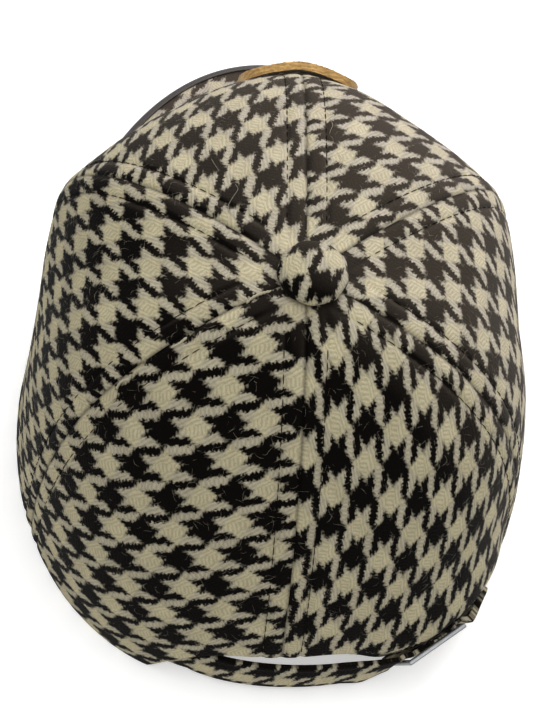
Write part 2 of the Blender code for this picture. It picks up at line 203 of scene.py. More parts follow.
def crown_reach(theta, share, depth=0.0):
    """Distance from the crown's axis to its cloth, at an angle and a share of the height."""
    theta = np.asarray(theta, float)
    share = np.clip(np.asarray(share, float), 0.0, 1.0)
    cosine = np.cos(np.radians(theta))
    part = {"back": np.maximum(cosine, 0.0) ** 2, "front": np.maximum(-cosine, 0.0) ** 2}
    part["side"] = 1.0 - part["back"] - part["front"]
    turn = sum(part[name] * WALL[name]["turn"] for name in WALL)
    swell = sum(part[name] * WALL[name]["swell"] for name in WALL)
    belly = np.sin(np.pi * share)
    ridge = sum(rise * np.maximum(1.0 - np.abs(wrap(theta - angle)) / RIDGE_SPREAD, 0.0) ** 1.5
                for angle, rise in RIDGES.items())
    toward = np.maximum(np.cos(np.radians(theta - RIM_TUCK["centre"])), 0.0)
    tuck = RIM_TUCK["depth"] * toward ** RIM_TUCK["focus"] * (1.0 - share) ** 4 + buckle_tuck(theta, share)
    wall = np.sqrt(np.maximum(1.0 - share ** turn, 0.0)) * (1.0 + swell * belly)
    return rim_reach(theta, depth) * wall * (1.0 + ridge * belly) * (1.0 - tuck)


def crown_point(theta, share, depth=0.0):
    """Points of the cloth as an array, at a depth below its outer face."""
    theta, share = np.broadcast_arrays(np.asarray(theta, float), np.asarray(share, float))
    reach = crown_reach(theta, share, depth)
    turn = np.radians(theta)
    return np.stack([
        reach * np.sin(turn),
        reach * np.cos(turn) + APEX_SETBACK * share + AXIS_Y,
        (CROWN_HEIGHT - depth) * share,
    ], axis=-1)


def crown_normal(theta, share, angle_step=0.4, share_step=0.004):
    """Outward direction of the crown's surface."""
    higher = crown_point(theta, np.minimum(share + share_step, NEAR_APEX))
    lower = crown_point(theta, np.maximum(share - share_step, 0.0))
    across = crown_point(theta + angle_step, share) - crown_point(theta - angle_step, share)
    out = direction(np.cross(higher - lower, across))
    from_middle = crown_point(theta, share) - HOLLOW_MIDDLE
    return out * np.sign((from_middle * out).sum(axis=-1, keepdims=True))


PEAK_CORNER_X, PEAK_CORNER_Y, _ = (float(place) for place in crown_point(180.0 - PEAK_HALF_SPAN, 0.0))
PEAK_FORWARD = PEAK_CORNER_Y - (AXIS_Y - RIM_FRONT - PEAK_LENGTH)


def peak_height(x, y):
    """Middle of the peak's board: arched across, falling toward the tip."""
    forward = np.clip((PEAK_CORNER_Y - y) / PEAK_FORWARD, 0.0, 1.0)
    arch = 1.0 - (x / PEAK_CORNER_X) ** 2
    return PEAK_CORNER_LIFT + PEAK_RISE * arch * (1.0 - PEAK_TIP_FALL_SHARE * forward)


def peak_edge(turn):
    """The board's outer edge in plan, from -90 to 90 degrees, and its outward direction."""
    sine, cosine = math.sin(math.radians(turn)), max(math.cos(math.radians(turn)), 1e-6)
    spot = np.array([PEAK_CORNER_X * sine, PEAK_CORNER_Y - PEAK_FORWARD * cosine ** PEAK_TAPER])
    slope = PEAK_FORWARD * PEAK_TAPER * cosine ** (PEAK_TAPER - 1) * sine
    return spot, direction(np.array([slope, -PEAK_CORNER_X * cosine]))


def hem_height(theta):
    """Height of the crown's lower edge: the arch at the back, the peak's top at the front."""
    x, y, _ = crown_point(theta, 0.0)
    if y > AXIS_Y and abs(x) < ARCH_HALF_WIDTH:
        return ARCH_HEIGHT * (1.0 - (abs(x) / ARCH_HALF_WIDTH) ** ARCH_FLATNESS)
    beyond = abs(wrap(theta - 180.0)) - PEAK_HALF_SPAN - HEM_CORNER["over"]
    if beyond > 0:
        lift = PEAK_CORNER_LIFT + PEAK_BOARD / 2 + HEM_CORNER["clearance"]
        return lift * max(1.0 - beyond / (HEM_CORNER["floor"] - HEM_CORNER["over"]), 0.0)
    inner_x, inner_y, _ = crown_point(theta, 0.0, CLOTH)
    return max(float(peak_height(x, y)), float(peak_height(inner_x, inner_y))) + PEAK_BOARD / 2


# Handling of pieces

def select_nothing():
    if bpy.context.object and bpy.context.object.mode != "OBJECT":
        bpy.ops.object.mode_set(mode="OBJECT")
    bpy.ops.object.select_all(action="DESELECT")


def only(piece):
    """Make one piece the selected and active one."""
    select_nothing()
    piece.select_set(True)
    bpy.context.view_layer.objects.active = piece


@contextmanager
def editing(piece, selected="SELECT"):
    """Edit mode on one piece, with all of it selected, or nothing."""
    only(piece)
    bpy.ops.object.mode_set(mode="EDIT")
    bpy.ops.mesh.select_all(action=selected)
    yield
    bpy.ops.object.mode_set(mode="OBJECT")


def add_object(name, data):
    """Put new data in the scene as an object."""
    made = bpy.data.objects.new(name, data)
    bpy.context.scene.collection.objects.link(made)
    return made


def new_piece(name):
    """Name the piece that an operator has just made."""
    piece = bpy.context.object
    piece.name = piece.data.name = name
    return piece


def points_of(piece):
    out = np.empty(len(piece.data.vertices) * 3)
    piece.data.vertices.foreach_get("co", out)
    return out.reshape(-1, 3)


def move_points(piece, points):
    piece.data.vertices.foreach_set("co", np.ascontiguousarray(points, dtype=np.float32).ravel())
    piece.data.update()


def grid(name, columns, rows):
    """A grid primitive of unit size with its corner at 0, 0, and its points."""
    select_nothing()
    bpy.ops.mesh.primitive_grid_add(x_subdivisions=columns, y_subdivisions=rows, size=1.0, location=(0, 0, 0))
    piece = new_piece(name)
    with editing(piece):
        bpy.ops.transform.translate(value=(0.5, 0.5, 0.0))
    return piece, points_of(piece)


def steps_of(unit, columns, rows):
    """Column and row of each point of a unit grid."""
    return np.rint(unit[:, :2] * (columns, rows)).astype(int).T


def corner_points(mesh):
    """Which point each face corner stands on."""
    index = np.empty(len(mesh.loops), np.int32)
    mesh.loops.foreach_get("vertex_index", index)
    return index


def set_uv(piece, name, per_point):
    """A UV map from one coordinate pair for each point."""
    mesh = piece.data
    for old in list(mesh.uv_layers):
        mesh.uv_layers.remove(old)
    corners = np.ascontiguousarray(per_point[corner_points(mesh)], dtype=np.float32)
    mesh.uv_layers.new(name=name).data.foreach_set("uv", corners.ravel())


def set_attribute(piece, name, values):
    """A number for each point, or one number for all of them."""
    layer = piece.data.attributes.new(name, "FLOAT", "POINT")
    each = np.broadcast_to(values, len(piece.data.vertices))
    layer.data.foreach_set("value", np.ascontiguousarray(each, dtype=np.float32))


# Painted sheen: pale fibre hazing painted into the colour, most on cloth that turns to the window light
PAINTED_SHEEN_TOWARD = direction(np.array([-0.55, -0.80, 0.25]))
PAINTED_SHEEN_START, PAINTED_SHEEN_MOST = -0.10, 0.75


def set_painted_sheen(piece, amount):
    """Painted sheen of loose fibres, most on the faces that turn to the front right and its window light."""
    normals = np.empty(len(piece.data.vertices) * 3)
    piece.data.vertices.foreach_get("normal", normals)
    turned = (normals.reshape(-1, 3) @ PAINTED_SHEEN_TOWARD - PAINTED_SHEEN_START) / (1.0 - PAINTED_SHEEN_START)
    set_attribute(piece, "haze_and_painted_sheen", amount * np.clip(turned, 0.0, PAINTED_SHEEN_MOST))


def outward(piece):
    """Normals recalculated outward on a closed piece."""
    with editing(piece):
        bpy.ops.mesh.normals_make_consistent(inside=False)


def outward_sheet(piece):
    """Turn a sheet's faces away from the crown's axis."""
    middle = Vector(HOLLOW_MIDDLE)
    if sum((face.center - middle).dot(face.normal) * face.area for face in piece.data.polygons) < 0:
        piece.data.flip_normals()


def apply_modifiers(piece):
    only(piece)
    for modifier in list(piece.modifiers):
        bpy.ops.object.modifier_apply(modifier=modifier.name)


def thicken(piece, thickness, side=-1.0):
    """Give a sheet its thickness, inward at side -1 and outward at side 1."""
    wall = piece.modifiers.new("wall", "SOLIDIFY")
    wall.thickness = thickness
    wall.offset = side
    apply_modifiers(piece)


def round_edges(piece, width, segments=2, over=55.0):
    """Round the edges that are sharper than an angle in degrees."""
    edge = piece.modifiers.new("edge", "BEVEL")
    edge.width = width
    edge.segments = segments
    edge.limit_method = "ANGLE"
    edge.angle_limit = math.radians(over)
    apply_modifiers(piece)


def close_sheet(piece, inner):
    """Close a sheet to a solid whose inner face goes through given points, one for each of its own."""
    with editing(piece):
        bpy.ops.mesh.duplicate()
        bpy.ops.mesh.flip_normals()
    points = points_of(piece)
    points[len(inner):] = inner
    move_points(piece, points)
    with editing(piece, "DESELECT"):
        bpy.ops.mesh.select_non_manifold()
        bpy.ops.mesh.bridge_edge_loops()


def cut_edges(piece, chosen, cuts):
    """Divide the chosen edges by even cuts."""
    with editing(piece, "DESELECT"):
        bpy.ops.mesh.select_mode(type="EDGE")
    for edge in piece.data.edges:
        edge.select = chosen(*edge.vertices)
    bpy.ops.object.mode_set(mode="EDIT")
    bpy.ops.mesh.subdivide(number_cuts=cuts)
    bpy.ops.mesh.select_mode(type="VERT")
    bpy.ops.object.mode_set(mode="OBJECT")


def smooth(piece, angle=50.0):
    only(piece)
    bpy.ops.object.shade_smooth_by_angle(angle=math.radians(angle), keep_sharp_edges=False)


def finish(piece, looks, slot, *nodes):
    """Give a piece its finish, and let it stand for its solids."""
    piece.data.materials.clear()
    piece.data.materials.append(looks)
    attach(piece, "root")
    if nodes:
        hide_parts(*nodes)


# Finishes

class Nodes:
    """A node tree with its sums written short."""

    def __init__(self, tree):
        self.tree = tree

    def add(self, kind, **settings):
        node = self.tree.nodes.new(kind)
        for name, value in settings.items():
            setattr(node, name, value)
        return node

    def feed(self, socket, value):
        if isinstance(value, bpy.types.NodeSocket):
            self.tree.links.new(value, socket)
        elif value is not None:
            socket.default_value = value

    def sum(self, operation, *values):
        node = self.add("ShaderNodeMath", operation=operation)
        for socket, value in zip(node.inputs, values):
            self.feed(socket, value)
        return node.outputs[0]

    def product(self, first, *others):
        for other in others:
            first = self.sum("MULTIPLY", first, other)
        return first

    def vector(self, operation, a, b=None, scale=None):
        node = self.add("ShaderNodeVectorMath", operation=operation)
        self.feed(node.inputs[0], a)
        self.feed(node.inputs[1], b)
        if scale is not None:
            self.feed(node.inputs["Scale"], scale)
        return node.outputs[0]

    def split(self, vector):
        node = self.add("ShaderNodeSeparateXYZ")
        self.feed(node.inputs[0], vector)
        return node.outputs

    def mix(self, factor, a, b):
        node = self.add("ShaderNodeMix", data_type="RGBA")
        self.feed(node.inputs["Factor"], factor)
        self.feed(node.inputs[6], a)
        self.feed(node.inputs[7], b)
        return node.outputs[2]

    def noise(self, vector, scale, detail=2.0, roughness=0.5, colour=False):
        node = self.add("ShaderNodeTexNoise", noise_dimensions="3D")
        self.feed(node.inputs["Vector"], vector)
        self.feed(node.inputs["Scale"], scale)
        self.feed(node.inputs["Detail"], detail)
        self.feed(node.inputs["Roughness"], roughness)
        return node.outputs["Color" if colour else "Fac"]

    def ramp(self, value, low, high, to_low=0.0, to_high=1.0):
        node = self.add("ShaderNodeMapRange", clamp=True)
        sockets = ("Value", "From Min", "From Max", "To Min", "To Max")
        for name, number in zip(sockets, (value, low, high, to_low, to_high)):
            self.feed(node.inputs[name], number)
        return node.outputs[0]

    def attribute(self, name):
        return self.add("ShaderNodeAttribute", attribute_name=name).outputs["Fac"]

    def place(self):
        return self.add("ShaderNodeTexCoord").outputs["Object"]

    def bump(self, shader, height, strength, distance):
        node = self.add("ShaderNodeBump")
        node.inputs["Strength"].default_value = strength
        node.inputs["Distance"].default_value = distance
        self.feed(node.inputs["Height"], height)
        self.feed(shader.inputs["Normal"], node.outputs["Normal"])


# The weave, with its lengths in threads: how the threads sway, how their edges and their twist fray,
# how flat a float lies, and the strokes of each yarn's twist across and along the cloth
THREADS_IN_REPEAT = 8.0
SWAY_SCALE, SWAY_DETAIL, SWAY = 0.40, 1.0, 0.9
FRAY_SCALE, FRAY_DETAIL, FRAY_ROUGHNESS = 2.2, 5.0, 0.80
EDGE_FRAY, TWIST_FRAY = 1.45, 0.85
FLOAT_FLATNESS = 0.55
WARP_TWIST, WEFT_TWIST = (0.98, -1.00), (1.30, 0.62)

# Where one yarn ends and the next begins, as a soft step, and how far the twist pushes it
FLOAT_EDGE, FRAYED_FLOAT_EDGE, STRIPE_EDGE = (0.27, 0.23), (0.305, 0.195), (0.272, 0.200)
TWIST_ON_FLOAT, TWIST_ON_STRIPE = 0.060, 0.022


class WeaveNodes(Nodes):
    """The sums that the weave is made of, with lengths in threads."""

    def uneven(self, threads, *grain):
        """Noise along all three axes, round 0."""
        return self.vector("SUBTRACT", self.noise(threads, *grain, colour=True), (0.5, 0.5, 0.5))

    def shifted(self, place, by, reach):
        return self.vector("ADD", place, self.vector("SCALE", by, scale=reach))

    def off_middle(self, value):
        """How far a value lies from the nearest middle between two whole numbers, with its sign."""
        return self.sum("SUBTRACT", self.sum("FRACT", value), 0.5)

    def stepped(self, thread):
        """Nearly level across one thread, and quick from thread to thread."""
        wave = self.sum("SINE", self.sum("MULTIPLY", thread, 2 * math.pi))
        return self.sum("MULTIPLY_ADD", wave, FLOAT_FLATNESS / (2 * math.pi), thread)

    def from_float(self, x, y, twill):
        """Distance from the middle of the floats that lie on top across the cloth, in twill lines."""
        line = self.sum("ADD", self.sum("ADD", self.stepped(x), self.stepped(y)), twill)
        return self.sum("ABSOLUTE", self.off_middle(self.sum("MULTIPLY_ADD", line, 0.25, 0.125)))

    def plies(self, x, y, twist):
        """Slanted strokes of a two-ply yarn's twist."""
        turns = self.sum("MULTIPLY", y, twist[1] * 2 * math.pi)
        return self.sum("SINE", self.sum("MULTIPLY_ADD", x, twist[0] * 2 * math.pi, turns))

    def stripe(self, thread, stroke):
        """1 on the four light threads, 0 on the four dark ones."""
        away = self.off_middle(self.sum("MULTIPLY_ADD", thread, 1 / THREADS_IN_REPEAT, -0.25))
        pushed = self.sum("MULTIPLY_ADD", stroke, TWIST_ON_STRIPE, self.sum("ABSOLUTE", away))
        return self.ramp(pushed, *STRIPE_EDGE)

    def less_square(self, value, share):
        return self.sum("MULTIPLY_ADD", self.product(value, value), -share, 1.0)

    def on_top(self, share, warp, weft):
        """The warp where it lies on top, and else the weft."""
        return self.sum("MULTIPLY_ADD", self.sum("SUBTRACT", warp, weft), share, weft)


def weave_group():
    """Houndstooth in a two-and-two twill, four dark and four light threads each way.

    Repeats counts the pattern's repeats, Twill where its diagonal starts in threads. Light is 1 on
    light yarn, Height the weave's relief, Ply the twist of the yarns, Solid where light crosses light.
    """
    group = bpy.data.node_groups.new("houndstooth weave", "ShaderNodeTree")
    group.interface.new_socket("Repeats", in_out="INPUT", socket_type="NodeSocketVector")
    group.interface.new_socket("Twill", in_out="INPUT", socket_type="NodeSocketFloat")
    n = WeaveNodes(group)
    source = n.add("NodeGroupInput").outputs
    threads = n.vector("SCALE", source["Repeats"], scale=THREADS_IN_REPEAT)
    swayed = n.shifted(threads, n.uneven(threads, SWAY_SCALE, SWAY_DETAIL), SWAY)
    fray = n.uneven(threads, FRAY_SCALE, FRAY_DETAIL, FRAY_ROUGHNESS)
    x, y, _ = n.split(swayed)
    frayed_x, frayed_y, _ = n.split(n.shifted(swayed, fray, EDGE_FRAY))
    twist_x, twist_y, _ = n.split(n.shifted(swayed, fray, TWIST_FRAY))

    from_float = n.from_float(x, y, source["Twill"])
    warp_up = n.ramp(from_float, *FLOAT_EDGE)
    strokes = (n.plies(twist_x, twist_y, twist) for twist in (WARP_TWIST, WEFT_TWIST))
    stroke = n.on_top(warp_up, *strokes)

    frayed_float = n.from_float(frayed_x, frayed_y, source["Twill"])
    frayed_up = n.ramp(n.sum("MULTIPLY_ADD", stroke, TWIST_ON_FLOAT, frayed_float), *FRAYED_FLOAT_EDGE)
    across, along = n.stripe(frayed_x, stroke), n.stripe(frayed_y, stroke)

    # each yarn is round, and each float is highest in its middle
    to_float = n.sum("SUBTRACT", 0.5, from_float)
    warp = n.product(n.less_square(n.off_middle(x), 4.0), n.less_square(from_float, 9.0))
    weft = n.product(n.less_square(n.off_middle(y), 4.0), n.less_square(to_float, 9.0))
    made = {
        "Light": n.on_top(frayed_up, across, along),
        "Height": n.on_top(warp_up, warp, weft),
        "Ply": n.sum("MULTIPLY_ADD", stroke, 0.5, 0.5),
        "Solid": n.product(across, along),
    }
    for name in made:
        group.interface.new_socket(name, in_out="OUTPUT", socket_type="NodeSocketFloat")
    out = n.add("NodeGroupOutput")
    for name, value in made.items():
        group.links.new(value, out.inputs[name])
    return group


def tint(colour, by=(1.0, 1.0, 1.0)):
    """A colour with its three parts scaled, and full cover."""
    return tuple(part * share for part, share in zip(colour, by)) + (1.0,)


def new_look(name, roughness, metallic=0.0, sheen=0.0):
    made = bpy.data.materials.new(name)
    made.use_nodes = True
    shader = made.node_tree.nodes["Principled BSDF"]
    shader.inputs["Roughness"].default_value = roughness
    shader.inputs["Metallic"].default_value = metallic
    shader.inputs["Sheen Weight"].default_value = sheen
    shader.inputs["Sheen Roughness"].default_value = 0.45
    return made, Nodes(made.node_tree), shader


# The two yarns, how a light one warms and greys, the colour of the pale hazing of loose fibres over them and
# of their painted sheen, and how dark the painted shade in creases is
LIGHT_YARN, DARK_YARN = (0.500, 0.452, 0.308), (0.0026, 0.0020, 0.0016)
WARM_TINT, GREY_TINT = (0.98, 0.95, 0.84), (0.93, 0.95, 1.12)
HAZE_ALL_OVER = 0.0016
HAZE_AND_SHEEN_ON_DARK, HAZE_AND_SHEEN_ON_LIGHT = (1.0, 0.80, 0.62), (0.30, 0.12, 0.80)
PAINTED_SHADE_DARK = 0.45


def houndstooth_look():
    """Brushed wool: cream and near-black yarns, hazed by loose fibres and by their painted sheen, with
    painted shade in seam creases and below the button.
    """
    made, n, shader = new_look("houndstooth wool", 0.95, sheen=0.05)
    shader.inputs["Specular IOR Level"].default_value = 0.03
    shader.inputs["Sheen Roughness"].default_value = 0.30
    uv = n.add("ShaderNodeUVMap", uv_map="weave").outputs["UV"]
    weave = n.add("ShaderNodeGroup", node_tree=weave_group())
    n.feed(weave.inputs["Repeats"], uv)
    n.feed(weave.inputs["Twill"], n.attribute("twill"))
    light, height, twist, solid = (weave.outputs[name] for name in ("Light", "Height", "Ply", "Solid"))
    threads = n.vector("SCALE", uv, scale=THREADS_IN_REPEAT)

    # shade: painted shade and highlight along the twist's strokes and in the relief's hollows, the yarn's own
    # tone in slow blotches and fine specks, and brighter where light crosses light: a light float among dark
    # yarns is thinner and greyer than the full light square
    shade = n.product(
        n.sum("MULTIPLY_ADD", twist, 0.28, 0.83),
        n.sum("MULTIPLY_ADD", height, 0.09, 0.93),
        n.ramp(n.noise(threads, 0.22, 3.0), 0.3, 0.7, 0.90, 1.10),
        n.ramp(n.noise(threads, 5.5, 4.0, 0.75), 0.3, 0.7, 0.80, 1.16),
        n.sum("MULTIPLY_ADD", solid, 0.14, 0.90),
    )
    warm = n.mix(n.noise(threads, 0.5, 2.0), tint(LIGHT_YARN), tint(LIGHT_YARN, WARM_TINT))
    grey = n.mix(0.50, warm, tint(LIGHT_YARN, GREY_TINT))
    cream = n.vector("SCALE", n.mix(solid, grey, warm), scale=shade)

    # loose pale fibres lightly cover the dark squares all over, and their painted sheen adds most where the
    # cloth turns to the window light
    fibre = n.ramp(n.noise(threads, 6.0, 4.0, 0.75), 0.35, 0.72, 0.45, 1.65)
    haze_and_painted_sheen = n.product(n.sum("ADD", n.attribute("haze_and_painted_sheen"), HAZE_ALL_OVER), fibre)
    black = n.vector("ADD", DARK_YARN, n.vector("SCALE", HAZE_AND_SHEEN_ON_DARK, scale=haze_and_painted_sheen))
    cream = n.vector("ADD", cream, n.vector("SCALE", HAZE_AND_SHEEN_ON_LIGHT, scale=haze_and_painted_sheen))
    # painted shade darkens the cloth in seam creases and below the button's middle
    painted_shade_scale = n.ramp(n.attribute("painted_shade"), 0.0, 1.0, 1.0, PAINTED_SHADE_DARK)
    n.feed(shader.inputs["Base Color"], n.vector("SCALE", n.mix(light, black, cream), scale=painted_shade_scale))

    relief = n.sum("ADD", n.sum("MULTIPLY", height, 0.18), n.sum("MULTIPLY", twist, 0.30))
    relief = n.sum("ADD", relief, n.sum("MULTIPLY", n.noise(threads, 3.6, 4.0, 0.70), 0.55))
    n.bump(shader, relief, 0.75, 0.00038)
    return made


def leather_look():
    """Dark smooth leather, finely pored and worn paler in places."""
    made, n, shader = new_look("dark binding leather", 0.48)
    place = n.place()
    grain = n.add("ShaderNodeTexVoronoi", feature="DISTANCE_TO_EDGE")
    n.feed(grain.inputs["Vector"], place)
    grain.inputs["Scale"].default_value = 1500.0
    pores = n.ramp(grain.outputs["Distance"], 0.0, 0.25)
    worn = n.noise(place, 90.0, 4.0)
    n.feed(shader.inputs["Base Color"], n.mix(worn, tint((0.022, 0.017, 0.015)), tint((0.050, 0.040, 0.037))))
    n.feed(shader.inputs["Roughness"], n.ramp(worn, 0.2, 0.8, 0.40, 0.62))
    n.bump(shader, n.sum("MULTIPLY_ADD", n.noise(place, 400.0, 3.0), 0.5, pores), 0.35, 0.0002)
    return made


# Suede: its darker and paler tan, and how the layers of the hide show on its cut edge
SUEDE_DEEP, SUEDE_PALE = (0.58, 0.320, 0.095), (0.76, 0.480, 0.180)
LAYER_WAVER, LAYER_TURNS, LAYER_DARK = 0.9, 15.0, 0.30


def suede_look():
    """Tan suede with a brushed nap."""
    made, n, shader = new_look("tan suede", 0.96, sheen=0.4)
    place = n.place()
    nap = n.noise(place, 260.0, 5.0, 0.65)
    brushed = n.ramp(n.noise(place, 38.0, 3.0, 0.6), 0.3, 0.7)
    colour = n.mix(brushed, tint(SUEDE_DEEP), tint(SUEDE_PALE))
    colour = n.vector("SCALE", colour, scale=n.ramp(nap, 0.25, 0.75, 0.70, 1.18))
    waver = n.sum("MULTIPLY_ADD", n.noise(place, 500.0, 3.0, 0.6), LAYER_WAVER, n.attribute("layer"))
    lines = n.sum("MULTIPLY_ADD", n.sum("SINE", n.sum("MULTIPLY", waver, LAYER_TURNS)), 0.5, 0.5)
    darker = n.product(lines, n.attribute("cut"), LAYER_DARK)
    n.feed(shader.inputs["Base Color"], n.vector("SCALE", colour, scale=n.sum("SUBTRACT", 1.0, darker)))
    n.bump(shader, n.sum("ADD", nap, n.noise(place, 900.0, 2.0)), 0.6, 0.0003)
    return made


def thread_look(name, colour):
    """Matt yarn, speckled darker."""
    made, n, shader = new_look(name, 0.9)
    shader.inputs["Specular IOR Level"].default_value = 0.05
    speckle = n.noise(n.place(), 2200.0, 2.0)
    n.feed(shader.inputs["Base Color"], n.mix(speckle, tint(colour, (0.6, 0.6, 0.6)), tint(colour)))
    return made


def metal_look():
    """Pale satin metal, rubbed here and there."""
    made, n, shader = new_look("pale buckle metal", 0.52, metallic=1.0)
    rub = n.noise(n.place(), 350.0, 4.0, 0.6)
    n.feed(shader.inputs["Base Color"], n.mix(rub, tint((0.27, 0.28, 0.29)), tint((0.40, 0.41, 0.42))))
    n.feed(shader.inputs["Roughness"], n.ramp(rub, 0.3, 0.7, 0.42, 0.62))
    return made


HOUNDSTOOTH = houndstooth_look()
LEATHER = leather_look()
SUEDE = suede_look()
METAL = metal_look()
DARK_THREAD = thread_look("dark sewing thread", (0.0045, 0.0036, 0.0030))
PALE_THREAD = thread_look("pale sewing thread", (0.62, 0.52, 0.36))
PALE_YARN = thread_look("pale loose yarn", (0.56, 0.50, 0.36))
PALE_FIBRE = thread_look("pale wool fibre", (0.50, 0.45, 0.35))


# Cloth cut flat

SHEETS = []
CUT_COLUMNS, CUT_ROWS = 40, 80


def shares_from_hem(theta, low, rows):
    """Shares of the height at even steps along the cloth, from a height to the apex hole."""
    fine = low + (1.0 - low) * np.sin(np.pi / 2 * np.linspace(0.0, 1.0, 400))
    line = crown_point(theta, fine)
    length = travelled(line)
    reach = np.hypot(line[:, 0], line[:, 1] - AXIS_Y - APEX_SETBACK)
    end = length[int(np.argmax(reach < APEX_HOLE_RADIUS))]
    return np.interp(np.linspace(0.0, end, rows + 1), length, fine)


def cut_pattern(name, panel):
    """A panel unrolled to flat cloth, its apex at 0 and its centre line upright.

    Returns the angles of its columns, their shares of the height at even steps up the cloth, and the
    flat x and y of each.
    """
    piece, unit = grid(name + "_cut", CUT_COLUMNS, CUT_ROWS)
    angles = np.linspace(panel.start, panel.end, CUT_COLUMNS + 1)
    shares = np.array([shares_from_hem(angle, 0.0, CUT_ROWS) for angle in angles])
    column, row = steps_of(unit, CUT_COLUMNS, CUT_ROWS)
    round_cloth = crown_point(angles[:, None], shares)
    move_points(piece, round_cloth[column, row])
    with editing(piece):
        bpy.ops.uv.unwrap(method="MINIMUM_STRETCH", margin=0.0, iterations=60)
    corners = np.empty(len(piece.data.loops) * 2)
    piece.data.uv_layers.active.data.foreach_get("uv", corners)
    flat = np.zeros((len(unit), 2))
    flat[corner_points(piece.data)] = corners.reshape(-1, 2)
    table = np.zeros((CUT_COLUMNS + 1, CUT_ROWS + 1, 2))
    table[column, row] = flat
    bpy.data.objects.remove(piece)

    def edges(block):
        return sum(np.linalg.norm(np.diff(block, axis=axis), axis=-1).sum() for axis in (0, 1))

    middle, low = CUT_COLUMNS // 2, CUT_ROWS // 3
    table *= edges(round_cloth) / edges(table)
    table -= table[middle, -1]
    foot = table[middle, 0]
    up = -foot / np.linalg.norm(foot)
    table = table @ np.array([[up[1], up[0]], [-up[0], up[1]]])
    if table[-1, low, 0] < table[0, low, 0]:
        table[..., 0] *= -1
    return angles, shares, table


CUTS = {name: cut_pattern(name, panel) for name, panel in PANELS.items()}


def panel_flat(name, theta, share):
    """Where points of a panel fall on its flat cut piece, in metres."""
    angles, shares, table = CUTS[name]
    across = (theta - angles[0]) / (angles[-1] - angles[0]) * CUT_COLUMNS
    left = np.clip(np.floor(across).astype(int), 0, CUT_COLUMNS - 1)
    part = np.clip(across - left, 0.0, 1.0)[:, None]
    found = []
    for columns in (left, left + 1):
        row = np.empty(len(theta))
        for column in np.unique(columns):
            mine = columns == column
            row[mine] = np.interp(share[mine], shares[column], np.arange(CUT_ROWS + 1))
        low = np.clip(np.floor(row).astype(int), 0, CUT_ROWS - 1)
        rest = (row - low)[:, None]
        found.append(table[columns, low] * (1 - rest) + table[columns, low + 1] * rest)
    return between(found, part)


def lay_cloth(piece, flat, lie, painted_shade=0.0):
    """Lay the weave on a piece by where its points fall on the flat cloth, with its painted shade."""
    one, two = (math.radians(angle) for angle in lie.lean)
    across = (flat[:, 0] * math.cos(one) + flat[:, 1] * math.sin(one)) / lie.repeat[0] + lie.phase[0]
    along = (-flat[:, 0] * math.sin(two) + flat[:, 1] * math.cos(two)) / lie.repeat[1] + lie.phase[1]
    set_uv(piece, "weave", np.stack([across, along], axis=-1))
    set_attribute(piece, "twill", lie.twill)
    set_attribute(piece, "painted_shade", painted_shade)


def tell_sheet(piece, flat, rests_on):
    """Note the size that a cloth piece was cut to: its flat width, length and area."""
    width, length = (float(size) for size in flat.max(axis=0) - flat.min(axis=0))
    area = sum(face.area for face in piece.data.polygons)
    SHEETS.append((piece, (width, length), float(min(area, width * length)), rests_on))


# Crown panels

PANEL_COLUMNS, PANEL_ROWS = 96, 120
CLOSER_AT_SEAMS = 0.62
PANEL_CLOTH, PANEL_ROUNDING = CLOTH * 0.95, 0.0004

# Beside a seam, by the distance from it: a dip, a roll, the sewn row's dip, and the width of the painted
# shade in the seam's fold
SEAM_DIP, SEAM_WIDTH = 0.00040, 0.0011
SEAM_ROLL, ROLL_OFFSET, ROLL_WIDTH = 0.00012, 0.0034, 0.0024
STITCH_DIP, STITCH_OFFSET, STITCH_DIP_WIDTH = 0.00040, 0.0060, 0.0009
CREASE_SHADE_WIDTH = 0.0006

# Between the seams the cloth swells unevenly, and near the button all relief fades
CLOTH_SWELLS = ({"scale": 22.0, "seed": 1.0, "rise": 0.0006}, {"scale": 55.0, "seed": 2.0, "rise": 0.00025})
SWELL_FROM_SEAM = 0.012
RELIEF_FADE = {"from": 0.010, "over": 0.012, "least": 0.25}

# Painted sheen of each cloth piece, toward the window light
PANEL_PAINTED_SHEEN, BUTTON_PAINTED_SHEEN, PEAK_PAINTED_SHEEN, STRAP_PAINTED_SHEEN = 0.076, 0.050, 0.170, 0.010


def seam_relief(distance):
    """Height of the cloth near a seam: a valley, the rolled allowance beside it, the sewn row."""
    valley = -SEAM_DIP * hump(distance, SEAM_WIDTH)
    roll = SEAM_ROLL * hump(distance - ROLL_OFFSET, ROLL_WIDTH)
    return valley + roll - STITCH_DIP * hump(distance - STITCH_OFFSET, STITCH_DIP_WIDTH)


def strap_lip(theta, share):
    """The wall bulges over the strap's upper edge where the slide holds the strap tight."""
    z = share * CROWN_HEIGHT
    up = eased((z - STRAP_LIP["start"]) / (STRAP_LIP["top"] - STRAP_LIP["start"]))
    down = eased((STRAP_LIP["end"] - z) / (STRAP_LIP["end"] - STRAP_LIP["top"]))
    return STRAP_LIP["rise"] * beside_slide(theta) * up * down


